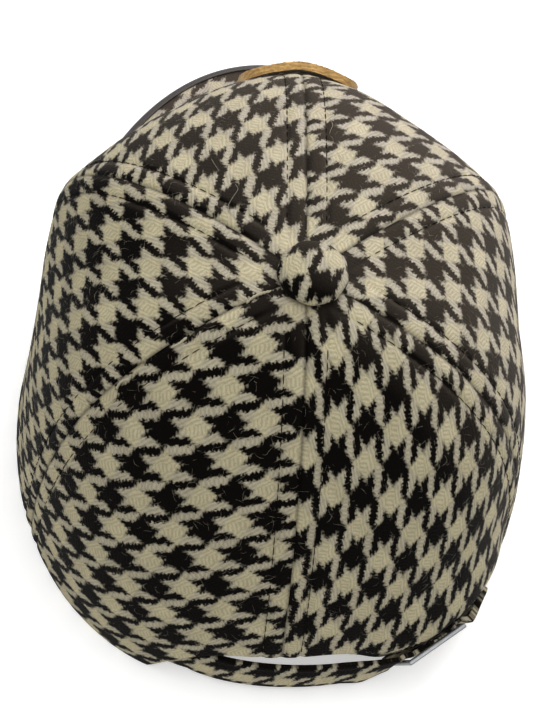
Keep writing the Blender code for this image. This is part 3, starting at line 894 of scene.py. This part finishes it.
def make_panel(name, panel):
    """One crown panel: rolled at its seams, with a dip below each sewn row, and swelling a little."""
    piece, unit = grid(name + "_cloth", PANEL_COLUMNS, PANEL_ROWS)
    column, row = steps_of(unit, PANEL_COLUMNS, PANEL_ROWS)
    even = np.linspace(0.0, 1.0, PANEL_COLUMNS + 1)
    spread = even - CLOSER_AT_SEAMS * np.sin(2 * np.pi * even) / (2 * np.pi)
    angles = panel.start + (panel.end - panel.start) * spread
    shares = np.array([
        shares_from_hem(angle, hem_height(angle) / CROWN_HEIGHT, PANEL_ROWS) for angle in angles])
    theta, share = angles[column], shares[column, row]
    base, reach = crown_point(theta, share), crown_reach(theta, share)
    distance = reach * np.radians(np.minimum(theta - panel.start, panel.end - theta))
    fade = np.clip((reach - RELIEF_FADE["from"]) / RELIEF_FADE["over"], RELIEF_FADE["least"], 1.0)
    swell = np.array([sum(drift(spot, wave["scale"], wave["seed"]) * wave["rise"] for wave in CLOTH_SWELLS)
                      for spot in base])
    rise = seam_relief(distance) * fade + swell * np.clip(distance / SWELL_FROM_SEAM, 0.0, 1.0)
    rise = rise + strap_lip(theta, share)
    move_points(piece, base + crown_normal(theta, share) * rise[:, None])
    flat = panel_flat(name, theta, share)
    # painted shade along each seam's fold
    lay_cloth(piece, flat, panel.lie, hump(distance, CREASE_SHADE_WIDTH))
    tell_sheet(piece, flat, [other for other in PANELS if other != name])
    outward_sheet(piece)
    thicken(piece, PANEL_CLOTH)
    round_edges(piece, PANEL_ROUNDING)
    # painted sheen on the faces that turn to the window light
    set_painted_sheen(piece, PANEL_PAINTED_SHEEN)
    smooth(piece)
    finish(piece, HOUNDSTOOTH, "crown_cloth", name)


for name, panel in PANELS.items():
    make_panel(name, panel)


# Sewing

SEAM_ANGLES = (0.0, BACK_SIDE_SEAM, SIDE_FRONT_SEAM, FRONT_SEAM, -SIDE_FRONT_SEAM, -BACK_SIDE_SEAM)
TOP_STITCH = {"length": 0.0030, "gap": 0.0006, "radius": 0.00015}
PATCH_STITCH = {"length": 0.0026, "gap": 0.0008, "radius": 0.00021}

# A stitch sinks a little into the cloth, and its ends dive by a share of its radius and narrow
STITCH_SINK = 0.00005
STITCH_SHAPE = {"sides": 6, "dive": 2.6, "narrows": 0.45}

# A sewn row beside a seam: the angle at which its hem is read, its start above the hem as a share of
# the height, its least reach at the button, its widest angle from the seam, and its lift
SEWN_ROW = {"hem_angle": 4.0, "over_hem": 0.012, "least_reach": 0.019, "widest": 24.0, "lift": 0.0003,
            "points": 160}


def strand(name, sides, radius, length, ends):
    """A straight round strand along X, cut across in four so that it can bend, and its points."""
    select_nothing()
    bpy.ops.mesh.primitive_cylinder_add(
        vertices=sides, radius=radius, depth=length, end_fill_type=ends, rotation=(0.0, math.pi / 2, 0.0))
    piece = new_piece(name)
    bpy.ops.object.transform_apply(location=True, rotation=True, scale=True)
    x = points_of(piece)[:, 0]
    cut_edges(piece, lambda a, b: abs(x[a] - x[b]) > length / 2, 3)
    return piece, points_of(piece)


def many(name, model, placed):
    """One piece of many copies of a model, each given by its points; the model itself goes."""
    count, faces = len(placed[0]), [tuple(face.vertices) for face in model.data.polygons]
    mesh = bpy.data.meshes.new(name)
    mesh.from_pydata(np.concatenate(placed).tolist(), [],
                     [tuple(k * count + i for i in face) for k in range(len(placed)) for face in faces])
    bpy.data.objects.remove(model)
    piece = add_object(name, mesh)
    outward(piece)
    return piece


def at(place, reached, values):
    """What a line's points carry, read at a length along the line."""
    return np.array([np.interp(place, reached, column) for column in values.T])


def sew(name, rows, stitch, looks, slot):
    """Round stitches whose ends dive into the cloth, along rows of points with their normals."""
    length, pitch = stitch["length"], stitch["length"] + stitch["gap"]
    model, shape = strand(name + "_one", STITCH_SHAPE["sides"], stitch["radius"], length, "TRIFAN")
    from_middle = np.abs(shape[:, 0]) / (length / 2)
    shape[:, 2] -= stitch["radius"] * STITCH_SHAPE["dive"] * from_middle ** 3
    shape[:, 1] *= 1.0 - STITCH_SHAPE["narrows"] * from_middle ** 2
    placed = []
    for line, normals in rows:
        reached = travelled(line)
        for k in range(int((reached[-1] - stitch["gap"]) / pitch)):
            middle = stitch["gap"] + pitch * (k + 0.5)
            ahead, behind = (at(middle + half, reached, line) for half in (length / 2, -length / 2))
            along = direction(ahead - behind)
            side = direction(np.cross(at(middle, reached, normals), along))
            up = np.cross(along, side)
            seat = at(middle, reached, line) - up * STITCH_SINK
            placed.append(seat + shape @ np.array([along, side, up]))
    piece = many(name, model, placed)
    smooth(piece, 60.0)
    finish(piece, looks, slot)


def seam_row(seam, side):
    """A sewn row beside a seam, from just above the hem to the button."""
    low = hem_height(seam + side * SEWN_ROW["hem_angle"]) / CROWN_HEIGHT + SEWN_ROW["over_hem"]
    share = shares_from_hem(seam, low, SEWN_ROW["points"])
    share = share[crown_reach(seam, share) > SEWN_ROW["least_reach"]]
    away = np.minimum(np.degrees(STITCH_OFFSET / crown_reach(seam, share)), SEWN_ROW["widest"])
    theta = seam + side * away
    normal = crown_normal(theta, share)
    return crown_point(theta, share) + normal * (seam_relief(STITCH_OFFSET) + SEWN_ROW["lift"]), normal


sew("seam_topstitch", [seam_row(seam, side) for seam in SEAM_ANGLES for side in (1, -1)],
    TOP_STITCH, DARK_THREAD, "crown_cloth")


# Covered button

# The button stands a little off the crown's axis, rises above its rim and goes under it, and is
# pleated round the rim
BUTTON_ASIDE, BUTTON_SEAT = -0.0018, 0.0017
BUTTON_RISE, BUTTON_UNDER, BUTTON_ROUND = 0.0046, 0.0030, 0.92
BUTTON_PLEATS = {"count": 9, "depth": 0.014, "turn": 0.6, "within": 0.45}
# How fast painted shade darkens the button's cloth below its middle
BUTTON_SHADE = 1.6


def make_button():
    """The button's cloth, pleated round its rim and darkened below it by painted shade."""
    select_nothing()
    bpy.ops.mesh.primitive_uv_sphere_add(segments=72, ring_count=48, radius=1.0)
    piece = new_piece("covered_button")
    x, y, z = points_of(piece).T
    radius = (button_high.x - button_low.x) / 2
    centre = (button_low + button_high) / 2
    pleats = np.sin(np.arctan2(y, x) * BUTTON_PLEATS["count"] + BUTTON_PLEATS["turn"])
    pleated = 1.0 + BUTTON_PLEATS["depth"] * pleats * (np.abs(z) < BUTTON_PLEATS["within"])
    rise = np.sign(z) * np.abs(z) ** BUTTON_ROUND * np.where(z > 0, BUTTON_RISE, BUTTON_UNDER)
    move_points(piece, np.stack([
        centre.x + BUTTON_ASIDE + x * radius * pleated,
        centre.y + y * radius * pleated,
        CROWN_HEIGHT + BUTTON_SEAT + rise,
    ], axis=-1))

    # flat, the cloth reaches as far out from the button's top as it goes down over it
    fall = np.linspace(0.0, math.pi, 800)
    high = np.sign(np.cos(fall)) * np.abs(np.cos(fall)) ** BUTTON_ROUND * BUTTON_RISE
    down = travelled(np.stack([radius * np.sin(fall), high], axis=-1))
    out = np.interp(np.arccos(np.clip(z, -1, 1)), fall, down)
    flat = direction(np.stack([x, y], axis=-1)) * out[:, None]
    # painted shade below the button's middle
    lay_cloth(piece, flat, BUTTON_LIE, np.clip(-z * BUTTON_SHADE, 0.0, 1.0))
    outward(piece)
    set_painted_sheen(piece, BUTTON_PAINTED_SHEEN)
    smooth(piece, 70.0)
    finish(piece, HOUNDSTOOTH, "crown_cloth", "top_button")


make_button()


# Peak and its binding

PEAK_COLUMNS, PEAK_ROWS, PEAK_ROUNDING = 90, 36, 0.0006
BINDING_COLUMNS, BINDING_ROWS, BINDING_HALF_TURN = 150, 16, 78.0
BINDING_CLOTH, BINDING_FLANGE, BINDING_GAP = 0.0007, 0.0010, 0.00012
FLANGE_SHARE, NOSE_DEPTH_SHARE = 0.3, 0.9


def make_peak():
    """The peak's board in its cloth cover, from below the crown's hem to its edge."""
    piece, unit = grid("peak_cover", PEAK_COLUMNS, PEAK_ROWS)
    plan = []
    for across, along, _ in unit:
        turn = across * 2 - 1
        inner = crown_point(180.0 - turn * PEAK_HALF_SPAN, 0.0, CLOTH)[:2]
        edge, _ = peak_edge(turn * 90.0)
        plan.append(between((inner, edge), along))
    x, y = np.transpose(plan)
    move_points(piece, np.stack([x, y, peak_height(x, y) + PEAK_BOARD / 2], axis=-1))
    lay_cloth(piece, np.stack([-x, y], axis=-1), PEAK_LIE)
    if piece.data.polygons[0].normal.z < 0:
        piece.data.flip_normals()
    thicken(piece, PEAK_BOARD)
    round_edges(piece, PEAK_ROUNDING)
    set_painted_sheen(piece, PEAK_PAINTED_SHEEN)
    smooth(piece)
    finish(piece, HOUNDSTOOTH, "peak_cloth", "peak")


make_peak()


def binding_section(part):
    """Out and up across the folded strip, from its upper rim round the nose to its lower rim."""
    inside = PEAK_BOARD / 2 + BINDING_GAP
    if part < FLANGE_SHARE:
        return -BINDING_FLANGE * (1 - part / FLANGE_SHARE), inside
    if part > 1 - FLANGE_SHARE:
        return -BINDING_FLANGE * (1 - (1 - part) / FLANGE_SHARE), -inside
    turn = (part - FLANGE_SHARE) / (1 - 2 * FLANGE_SHARE) * math.pi
    return math.sin(turn) * inside * NOSE_DEPTH_SHARE, math.cos(turn) * inside


def make_binding():
    """A leather strip folded round the peak's edge, its nose rounded."""
    piece, unit = grid("peak_edge_binding", BINDING_COLUMNS, BINDING_ROWS)
    placed = []
    for across, along, _ in unit:
        edge, off = peak_edge((across * 2 - 1) * BINDING_HALF_TURN)
        out, up = binding_section(round(along * BINDING_ROWS) / BINDING_ROWS)
        x, y = edge + off * out
        placed.append((x, y, peak_height(x, y) + up))
    move_points(piece, np.array(placed))
    middle = piece.data.polygons[(BINDING_ROWS // 2) * BINDING_COLUMNS + BINDING_COLUMNS // 2]
    if middle.normal.y > 0:
        piece.data.flip_normals()
    thicken(piece, BINDING_CLOTH, 1.0)
    smooth(piece, 60.0)
    finish(piece, LEATHER, "binding_leather", "peak_binding")


make_binding()


# Suede patch

PATCH_COLUMNS, PATCH_ROWS, PATCH_LAYERS = 100, 120, 8
PATCH_WIDTH, PATCH_BOTTOM, PATCH_TOP = 0.0380, 0.0400, 0.0870
PATCH_THICKNESS, PATCH_GAP, PATCH_CORNER, PATCH_BOW = 0.0026, 0.0004, 0.0080, 0.0011
PATCH_SPREAD = math.degrees(math.asin(PATCH_WIDTH / 2 / RIM_FRONT))

# The nap's slow swell on the face, and how the cut edge is torn along the hide's layers
PATCH_FACE = {"swell": 0.0002, "scale": 140.0, "seed": 4.0}
PATCH_RAGGED = {"grain": (900.0, 2400.0, 900.0), "coarse": 0.00030, "fine": 0.00022, "finer": 2.7,
                "forward": 0.15}
PATCH_ROW = {"inset": 0.0028, "lift": 0.0001, "points": 30}


def patch_place(across, along, out):
    """Point of the patch's face or back, rounded at its corners and bowed at its top."""
    short = max(PATCH_CORNER - PATCH_WIDTH * min(across, 1 - across), 0.0)
    corner = PATCH_CORNER - math.sqrt(max(PATCH_CORNER ** 2 - short ** 2, 0.0))
    theta = FRONT_SEAM - (across * 2 - 1) * PATCH_SPREAD
    share = between((PATCH_BOTTOM + corner, PATCH_TOP - corner), along) / CROWN_HEIGHT
    bow = PATCH_BOW * math.sin(math.pi * min(max(across, 0.0), 1.0)) ** 1.5 * min(max(along, 0.0), 1.0)
    return crown_point(theta, share) + crown_normal(theta, share) * (out + bow)


def ragged(points, chosen):
    """Tear the chosen points of the patch's cut edge a little in and out."""
    away = points - points.mean(axis=0)
    away[:, 1] *= PATCH_RAGGED["forward"]
    away = direction(away)
    for k in np.flatnonzero(chosen):
        spot = Vector(points[k] * PATCH_RAGGED["grain"])
        coarse = PATCH_RAGGED["coarse"] * noise.noise(spot)
        points[k] += away[k] * (coarse + PATCH_RAGGED["fine"] * noise.noise(spot * PATCH_RAGGED["finer"]))


def make_patch():
    """Suede with its nap raised and its cut edge ragged, in layers."""
    piece, unit = grid("suede_patch", PATCH_COLUMNS, PATCH_ROWS)
    placed = np.array([patch_place(across, along, PATCH_GAP + PATCH_THICKNESS) for across, along, _ in unit])
    swell = [drift(spot, PATCH_FACE["scale"], PATCH_FACE["seed"]) for spot in placed]
    placed[:, 1] -= PATCH_FACE["swell"] * np.array(swell)
    move_points(piece, placed)
    outward_sheet(piece)
    thicken(piece, PATCH_THICKNESS)
    half = len(unit)
    cut_edges(piece, lambda a, b: (a < half) != (b < half), PATCH_LAYERS - 1)
    points = points_of(piece)
    cut = np.ones(len(points), bool)
    cut[:2 * half] = np.tile(np.minimum(unit, 1 - unit)[:, :2].min(axis=1) < 1e-4, 2)
    layer = np.hypot(points[:, 0], points[:, 1] - AXIS_Y) / PATCH_THICKNESS
    ragged(points, cut)
    move_points(piece, points)
    set_attribute(piece, "layer", layer)
    set_attribute(piece, "cut", cut)
    smooth(piece, 35.0)
    finish(piece, SUEDE, "patch_suede", "front_patch")


make_patch()


def patch_rows():
    """The sewn row round the patch, side by side."""
    a, b = PATCH_ROW["inset"] / PATCH_WIDTH, PATCH_ROW["inset"] / (PATCH_TOP - PATCH_BOTTOM)
    corners = ((a, b), (1 - a, b), (1 - a, 1 - b), (a, 1 - b))
    top = PATCH_GAP + PATCH_THICKNESS + PATCH_ROW["lift"]
    for start, end in zip(corners, corners[1:] + corners[:1]):
        marks = np.linspace(start, end, PATCH_ROW["points"])
        line = np.array([patch_place(across, along, top) for across, along in marks])
        below = np.array([patch_place(across, along, 0.0) for across, along in marks])
        yield line, direction(line - below)


sew("patch_stitch", patch_rows(), PATCH_STITCH, PALE_THREAD, "patch_suede")


# Back strap, its free end and the slide

STRAP_COLUMNS, STRAP_ROWS, STRAP_ROUNDING = 160, 16, 0.0005

# The strap's edges are turned in, and sewn down beside the edge
STRAP_ROLL = {"edge": 0.0006, "edge_width": 0.0009, "row": 0.0003, "row_at": 0.0030, "row_width": 0.0008}
BUCKLE_ANGLE, BUCKLE_LENGTH, BUCKLE_CLEARANCE = -31.5, 0.0230, 0.0004
BUCKLE_ROUNDING = 0.0005

# The free end: single cloth, then doubled, which stands off at first and settles
TAB_COLUMNS, TAB_ROWS = 72, 24
TAB_LENGTH, TAB_CLOTH = 0.0270, 0.0015
TAB_DOUBLED = {"cloth": 0.0030, "standoff": 0.0014, "within": 0.0025, "settles": 0.0095}
TAB_TIP_SHARE, TAB_ROLL, TAB_ROLL_WIDTH = 0.3, 0.0005, 0.0008

# How far cloth stands off the round wall, as pairs for its lower and upper edge: at the flat slide's
# bars, where it also bulges through the slide's window, and in the taut stretch before the slide
HELD = {"middle": 0.0004, "past_bar": 0.0006, "opening_bar": (0.0005, 0.0015), "end_bar": (0.0004, 0.0006),
        "bulge": 0.0011, "window": 0.0097, "lets_go": 0.008}
TAUT = {"lift": (0.0036, 0.0016), "reach": 0.017, "starts": 0.0020, "bow": 1.2}


def strap_spot(theta, along, out):
    """Point on the strap: inside the crown where it is sewn, outside past the crossing."""
    z = STRAP_LIFT + STRAP_HEIGHT * along
    share = z / CROWN_HEIGHT
    crossing = STRAP_CROSSING["inside"] - STRAP_CROSSING["outside"]
    crossed = min(max((STRAP_CROSSING["inside"] - theta) / crossing, 0.0), 1.0) ** STRAP_CROSSING["ease"]
    inside = float(crown_reach(theta, share, CLOTH)) - STRAP_GAP - STRAP_CLOTH
    outside = float(crown_reach(theta, share)) + STRAP_GAP
    reach = between((inside, outside), crossed) + out
    turn = math.radians(theta)
    return np.array([reach * math.sin(turn), reach * math.cos(turn) + APEX_SETBACK * share + AXIS_Y, z])


# Degrees that the strap's path turns in a metre, at the slide
slide_x, slide_y, _ = strap_spot(BUCKLE_ANGLE, 0.5, 0.0)
METRE_TURN = math.degrees(1.0 / math.hypot(slide_x, slide_y - AXIS_Y))


def tab_section(theta):
    """How far the free end's inner face stands off the strap's path, and its thickness."""
    past = (BUCKLE_ANGLE - theta) / METRE_TURN - BUCKLE_LENGTH / 2 - BUCKLE_CLEARANCE
    doubled = eased(past / TAB_DOUBLED["within"])
    settled = eased((past - TAB_DOUBLED["within"]) / TAB_DOUBLED["settles"])
    standoff = TAB_DOUBLED["standoff"] * doubled * (1 - settled)
    return standoff, between((TAB_CLOTH, TAB_DOUBLED["cloth"]), doubled)


def pulled(theta, along):
    """How far the flat slide, and the taut strap beside it, lift the cloth off the round wall."""
    gone = (theta - BUCKLE_ANGLE) / METRE_TURN
    bar = BUCKLE_LENGTH / 2 + HELD["past_bar"]
    past = max(abs(gone) - bar, 0.0)
    rise = between(HELD["opening_bar" if gone > 0 else "end_bar"], along) * min(abs(gone) / bar, 1.0) ** 2
    bulge = HELD["bulge"] * max(1 - (gone / HELD["window"]) ** 6, 0.0)
    held = HELD["middle"] + rise + bulge
    if gone < 0:
        return held * (1 - eased(past / HELD["lets_go"]))
    taut = between(TAUT["lift"], along) * max(1 - past / TAUT["reach"], 0.0) ** TAUT["bow"]
    return between((held, taut), eased(past / TAUT["starts"]))


def make_strap():
    """The strap from its sewn end to the slide, its edges turned in and sewn."""
    piece, unit = grid("strap_cloth_band", STRAP_COLUMNS, STRAP_ROWS)
    placed = []
    for across, along, _ in unit:
        theta = between((BUCKLE_ANGLE, STRAP_SEWN_ANGLE), across)
        edge = min(along, 1 - along) * STRAP_HEIGHT
        roll = STRAP_ROLL["edge"] * hump(edge, STRAP_ROLL["edge_width"])
        row = STRAP_ROLL["row"] * hump(edge - STRAP_ROLL["row_at"], STRAP_ROLL["row_width"])
        placed.append(strap_spot(theta, along, STRAP_CLOTH - roll - row + pulled(theta, along)))
    move_points(piece, np.array(placed))
    flat = unit[:, :2] * ((STRAP_SEWN_ANGLE - BUCKLE_ANGLE) / METRE_TURN, STRAP_HEIGHT)
    lay_cloth(piece, flat, STRAP_LIE)
    tell_sheet(piece, flat, ["panel_back_left"])
    outward_sheet(piece)
    thicken(piece, STRAP_CLOTH)
    round_edges(piece, STRAP_ROUNDING)
    set_painted_sheen(piece, STRAP_PAINTED_SHEEN)
    smooth(piece)
    finish(piece, HOUNDSTOOTH, "strap_cloth", "back_strap")


make_strap()


def make_tab():
    """The free end: single cloth below the slide's front bar, doubled past it, its tip rounded."""
    piece, unit = grid("tab_cloth_end", TAB_COLUMNS, TAB_ROWS)
    outer, inner = [], []
    for across, along, _ in unit:
        theta = BUCKLE_ANGLE - METRE_TURN * (BUCKLE_CLEARANCE + TAB_LENGTH * across)
        to_tip = TAB_LENGTH * (1 - across)
        short = max(1 - to_tip / (STRAP_HEIGHT / 2), 0.0)
        half = between((TAB_TIP_SHARE, 1.0), math.sqrt(max(1 - short ** 2, 0.0)))
        standoff, thickness = tab_section(theta)
        standoff += pulled(theta, along)
        roll = TAB_ROLL * hump(min(min(along, 1 - along) * STRAP_HEIGHT * half, to_tip), TAB_ROLL_WIDTH)
        place = 0.5 + (along - 0.5) * half
        outer.append(strap_spot(theta, place, standoff + thickness - roll))
        inner.append(strap_spot(theta, place, standoff + roll / 2))
    move_points(piece, np.array(outer))
    flat = unit[:, :2] * (-TAB_LENGTH, STRAP_HEIGHT)
    lay_cloth(piece, flat, TAB_LIE)
    tell_sheet(piece, flat, ["panel_back_right", "panel_side_right"])
    outward_sheet(piece)
    close_sheet(piece, np.array(inner))
    set_painted_sheen(piece, STRAP_PAINTED_SHEEN)
    smooth(piece)
    finish(piece, HOUNDSTOOTH, "strap_cloth", "buckle_tab")


make_tab()


def make_buckle():
    """The slide: the solid's own frame with its corners rounded."""
    piece = add_object("slide_frame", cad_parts["strap_buckle"].data.copy())
    with editing(piece):
        bpy.ops.mesh.remove_doubles(threshold=0.00001)
        bpy.ops.mesh.dissolve_limited(angle_limit=math.radians(2))
    round_edges(piece, BUCKLE_ROUNDING, segments=3, over=30.0)
    smooth(piece)
    finish(piece, METAL, "buckle_metal", "strap_buckle")


make_buckle()


# Loose yarns and stray fibres

# Yarns pulled out of the left seam: the length of a turn of the two plies, how far they wind out, and
# where their ends thin, as a share of the length, and down to what share of the radius
YARN_RADIUS, YARN_TWIST, YARN_RISE, YARN_DIVE, YARN_POINTS = 0.00024, 0.0021, 0.00030, 0.0004, 61
PLY_OFFSET_SHARE, YARN_ENDS = 0.8, (0.05, 0.02)
LOOSE_YARNS = (
    {"theta": 63.6, "low": 0.983, "high": 0.9945, "bend": 0.0006},
    {"theta": 63.4, "low": 0.908, "high": 0.930, "bend": -0.0005},
    {"theta": 63.2, "low": 0.796, "high": 0.827, "bend": 0.0007},
    {"theta": 62.9, "low": 0.709, "high": 0.740, "bend": -0.0006},
)

# Long fibres lying loose: marks along each, as its angle and its share of the height
STRAY_FIBRES = (
    ((148.2, 0.937), (147.4, 0.945), (147.0, 0.952)),
    ((148.6, 0.965), (147.9, 0.972), (136.0, 0.973), (132.9, 0.986)),
    ((188.0, 0.870), (189.4, 0.884), (188.8, 0.897)),
    ((189.0, 0.918), (190.4, 0.930), (189.6, 0.943)),
    ((193.0, 0.955), (197.0, 0.962), (195.0, 0.972)),
    ((178.0, 0.905), (179.2, 0.912), (178.6, 0.920)),
)
FIBRE_RADIUS, FIBRE_RISE, FIBRE_SINK, FIBRE_POINTS = 0.000055, 0.0006, 0.0001, 25
FIBRE_SIDES, FIBRE_ENDS = 5, (0.2, 0.1)

# A direction that no strand follows
ASKEW = np.array([0.31, 0.17, 0.93])


def tube(name, line, radii, sides=8):
    """A closed round strand along a line of points."""
    rows = len(line) - 1
    piece, unit = grid(name, sides, rows)
    along = direction(np.gradient(line, axis=0))
    side = direction(np.cross(along, ASKEW))
    up = np.cross(along, side)
    _, row = steps_of(unit, sides, rows)
    turn = unit[:, :1] * 2 * np.pi
    out = np.cos(turn) * side[row] + np.sin(turn) * up[row]
    move_points(piece, line[row] + radii[row][:, None] * out)
    with editing(piece):
        bpy.ops.mesh.remove_doubles(threshold=0.000002)
    outward(piece)
    return piece


def join(name, pieces):
    only(pieces[0])
    for piece in pieces:
        piece.select_set(True)
    bpy.ops.object.join()
    return new_piece(name)


def thin_ends(part, over, least):
    """1 along a strand whose length goes from 0 to 1, thinner toward both its ends."""
    return np.clip(np.minimum(part, 1 - part) / over, least, 1.0)


def loose_yarn(yarn, k):
    """A pale two-ply yarn pulled out of the seam, its ends back in the cloth."""
    part = np.linspace(0.0, 1.0, YARN_POINTS)
    share = between((yarn["low"], yarn["high"]), part)
    bow = np.sin(np.pi * part)
    theta = yarn["theta"] + np.degrees(yarn["bend"] * bow / crown_reach(yarn["theta"], share))
    normal = crown_normal(theta, share)
    lift = YARN_RISE * bow ** 0.5 - YARN_DIVE * np.abs(2 * part - 1) ** 6
    line = crown_point(theta, share) + normal * lift[:, None]
    side = np.cross(direction(np.gradient(line, axis=0)), normal)
    radii = YARN_RADIUS * thin_ends(part, *YARN_ENDS) ** 0.5
    for ply in (0, 1):
        turn = (2 * np.pi * travelled(line) / YARN_TWIST + np.pi * ply)[:, None]
        wound = line + YARN_RADIUS * PLY_OFFSET_SHARE * (np.cos(turn) * side + np.sin(turn) * normal)
        yield tube("ply_%d_%d" % (k, ply), wound, radii)


def stray_fibre(marks, k):
    """One long pale fibre lying loose on the cloth."""
    part = np.linspace(0.0, 1.0, FIBRE_POINTS)
    theta, share = (np.interp(part, np.linspace(0.0, 1.0, len(marks)), values) for values in zip(*marks))
    for _ in range(3):
        for values in (theta, share):
            values[1:-1] = (values[:-2] + values[1:-1] * 2 + values[2:]) / 4
    lift = FIBRE_RISE * np.sin(np.pi * part) ** 0.6 - FIBRE_SINK
    line = crown_point(theta, share) + crown_normal(theta, share) * lift[:, None]
    return tube("fibre_%d" % k, line, FIBRE_RADIUS * thin_ends(part, *FIBRE_ENDS), FIBRE_SIDES)


def make_loose_yarns():
    plies = [ply for k, yarn in enumerate(LOOSE_YARNS) for ply in loose_yarn(yarn, k)]
    piece = join("loose_seam_yarns", plies)
    smooth(piece, 70.0)
    finish(piece, PALE_YARN, "crown_cloth")


def make_stray_fibres():
    piece = join("stray_fibres", [stray_fibre(marks, k) for k, marks in enumerate(STRAY_FIBRES)])
    smooth(piece, 80.0)
    finish(piece, PALE_FIBRE, "crown_cloth")


# Short fuzz: how many fibres, the limits of each, the draws that spread them evenly, where none lie,
# and how their ends thin and their length curls
FUZZ_COUNT, FUZZ_SEED = 4600, 11
FUZZ_LENGTH, FUZZ_RADIUS, FUZZ_BOW = (0.0012, 0.0040), (0.000012, 0.000026), (0.00015, 0.0008)
FUZZ_REACH, FUZZ_SPREAD = 0.1, 0.55
FUZZ_OVER_HEM, FUZZ_TOP, FUZZ_SINK = 0.002, 0.998, 0.0001
FUZZ_THIN, FUZZ_CURL = 0.75, 0.4


def fuzz_stays(theta, share, chance):
    """Whether a fibre stays: fewer where the crown is narrow, none below the hem or at the button."""
    if chance.uniform(0.0, FUZZ_REACH) > crown_reach(theta, share):
        return False
    return share <= FUZZ_TOP and share * CROWN_HEIGHT >= hem_height(theta) + FUZZ_OVER_HEM


def make_fuzz():
    """Short loose fibres that a brushed wool cloth carries all over, thin at their ends and bowed."""
    chance = random.Random(FUZZ_SEED)
    spots, sizes = [], []
    while len(spots) < FUZZ_COUNT:
        spot = chance.uniform(-180.0, 180.0), chance.uniform(0.0, 1.0) ** FUZZ_SPREAD
        if fuzz_stays(*spot, chance):
            spots.append(spot)
            limits = ((0.0, 2 * math.pi), FUZZ_LENGTH, FUZZ_RADIUS, FUZZ_BOW)
            sizes.append([chance.uniform(low, high) for low, high in limits])
    theta, share = np.transpose(spots)
    heading, length, radius, bow = np.transpose(sizes)[..., None]
    normal = crown_normal(theta, share)
    level = direction(np.cross(normal, np.array([0.0, 0.0, 1.0])))
    along = level * np.cos(heading) + np.cross(normal, level) * np.sin(heading)
    side = np.cross(normal, along)
    seat = crown_point(theta, share) + normal * (strap_lip(theta, share) - FUZZ_SINK)[:, None]

    # one model of unit size is laid along each fibre's own three directions
    model, shape = strand("fuzz_one", 3, 1.0, 1.0, "NGON")
    x, y, z = shape.T
    thin = (1.0 - FUZZ_THIN * (2 * x) ** 2) * radius
    points = seat[:, None]
    for axis, reach in ((along, x * length), (side, y * thin + (x ** 2 - 0.25) * length * FUZZ_CURL),
                        (normal, z * thin + (1 - 4 * x ** 2) * bow)):
        points = points + axis[:, None] * reach[..., None]
    piece = many("loose_fuzz", model, points)
    smooth(piece, 80.0)
    finish(piece, PALE_FIBRE, "crown_cloth")


make_loose_yarns()
make_stray_fibres()
make_fuzz()

for piece, size, area, rests_on in SHEETS:
    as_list(rests_on)


# Floor, light and camera

FLOOR_SIZE, FLOOR_COLOUR, FLOOR_GLOW = 6.0, (0.84, 0.84, 0.835), 0.45
WINDOW = {"place": (-0.55, -1.10, 0.80), "aim": (0.0, 0.0, 0.06), "size": (0.9, 0.8), "power": 15.5}
CEILING = {"place": (-0.03, 0.05, 1.30), "aim": (0.0, 0.0, 0.05), "size": (1.3, 1.3), "power": 13.0}
ROOM_LIGHT = 0.22
CAMERA = {"azimuth": 167.76, "elevation": 62.99, "roll": 12.50, "distance": 0.5072, "aim_height": 0.060,
          "sensor": 36.0, "lens": 80.3, "shift": (-0.0223, -0.0084)}


def make_floor():
    select_nothing()
    bpy.ops.mesh.primitive_plane_add(size=FLOOR_SIZE, location=(0, 0, 0))
    floor = new_piece("floor")
    look, _, shader = new_look("pale floor", 0.9)
    shader.inputs["Base Color"].default_value = tint(FLOOR_COLOUR)
    shader.inputs["Emission Color"].default_value = (1.0, 1.0, 1.0, 1.0)
    shader.inputs["Emission Strength"].default_value = FLOOR_GLOW
    shader.inputs["Specular IOR Level"].default_value = 0.1
    floor.data.materials.append(look)


def area_light(name, place, aim, size, power):
    """A soft rectangular light that faces a point."""
    data = bpy.data.lights.new(name, "AREA")
    data.shape = "RECTANGLE"
    data.size, data.size_y = size
    data.energy = power
    light = add_object(name, data)
    light.location = place
    light.rotation_euler = (Vector(aim) - Vector(place)).to_track_quat("-Z", "Y").to_euler()


def light_room():
    """Even white light from all round, and plain colours."""
    world = bpy.data.worlds.new("studio")
    world.use_nodes = True
    background = world.node_tree.nodes["Background"]
    background.inputs["Color"].default_value = (1.0, 1.0, 1.0, 1.0)
    background.inputs["Strength"].default_value = ROOM_LIGHT
    bpy.context.scene.world = world
    bpy.context.scene.view_settings.view_transform = "Standard"


def place_camera():
    """The photograph's view: above and behind the cap, turned a little about the line of sight."""
    azimuth, elevation, roll = (math.radians(CAMERA[name]) for name in ("azimuth", "elevation", "roll"))
    level = Vector((math.cos(azimuth), math.sin(azimuth), 0.0))
    forward = Vector((math.sin(azimuth), -math.cos(azimuth), 0.0))
    out = forward * math.cos(elevation) + Vector((0.0, 0.0, math.sin(elevation)))
    upright = out.cross(level)
    right = level * math.cos(roll) + upright * math.sin(roll)
    up = upright * math.cos(roll) - level * math.sin(roll)
    data = bpy.data.cameras.new("camera")
    data.sensor_width = CAMERA["sensor"]
    data.lens = CAMERA["lens"]
    data.shift_x, data.shift_y = CAMERA["shift"]
    data.clip_start = 0.01
    camera = add_object("camera", data)
    turned = Matrix((right, up, out)).transposed().to_4x4()
    turned.translation = Vector((0.0, AXIS_Y, CAMERA["aim_height"])) + out * CAMERA["distance"]
    camera.matrix_world = turned
    bpy.context.scene.camera = camera


make_floor()
area_light("window_front_right", **WINDOW)
area_light("ceiling_soft", **CEILING)
light_room()
place_camera()
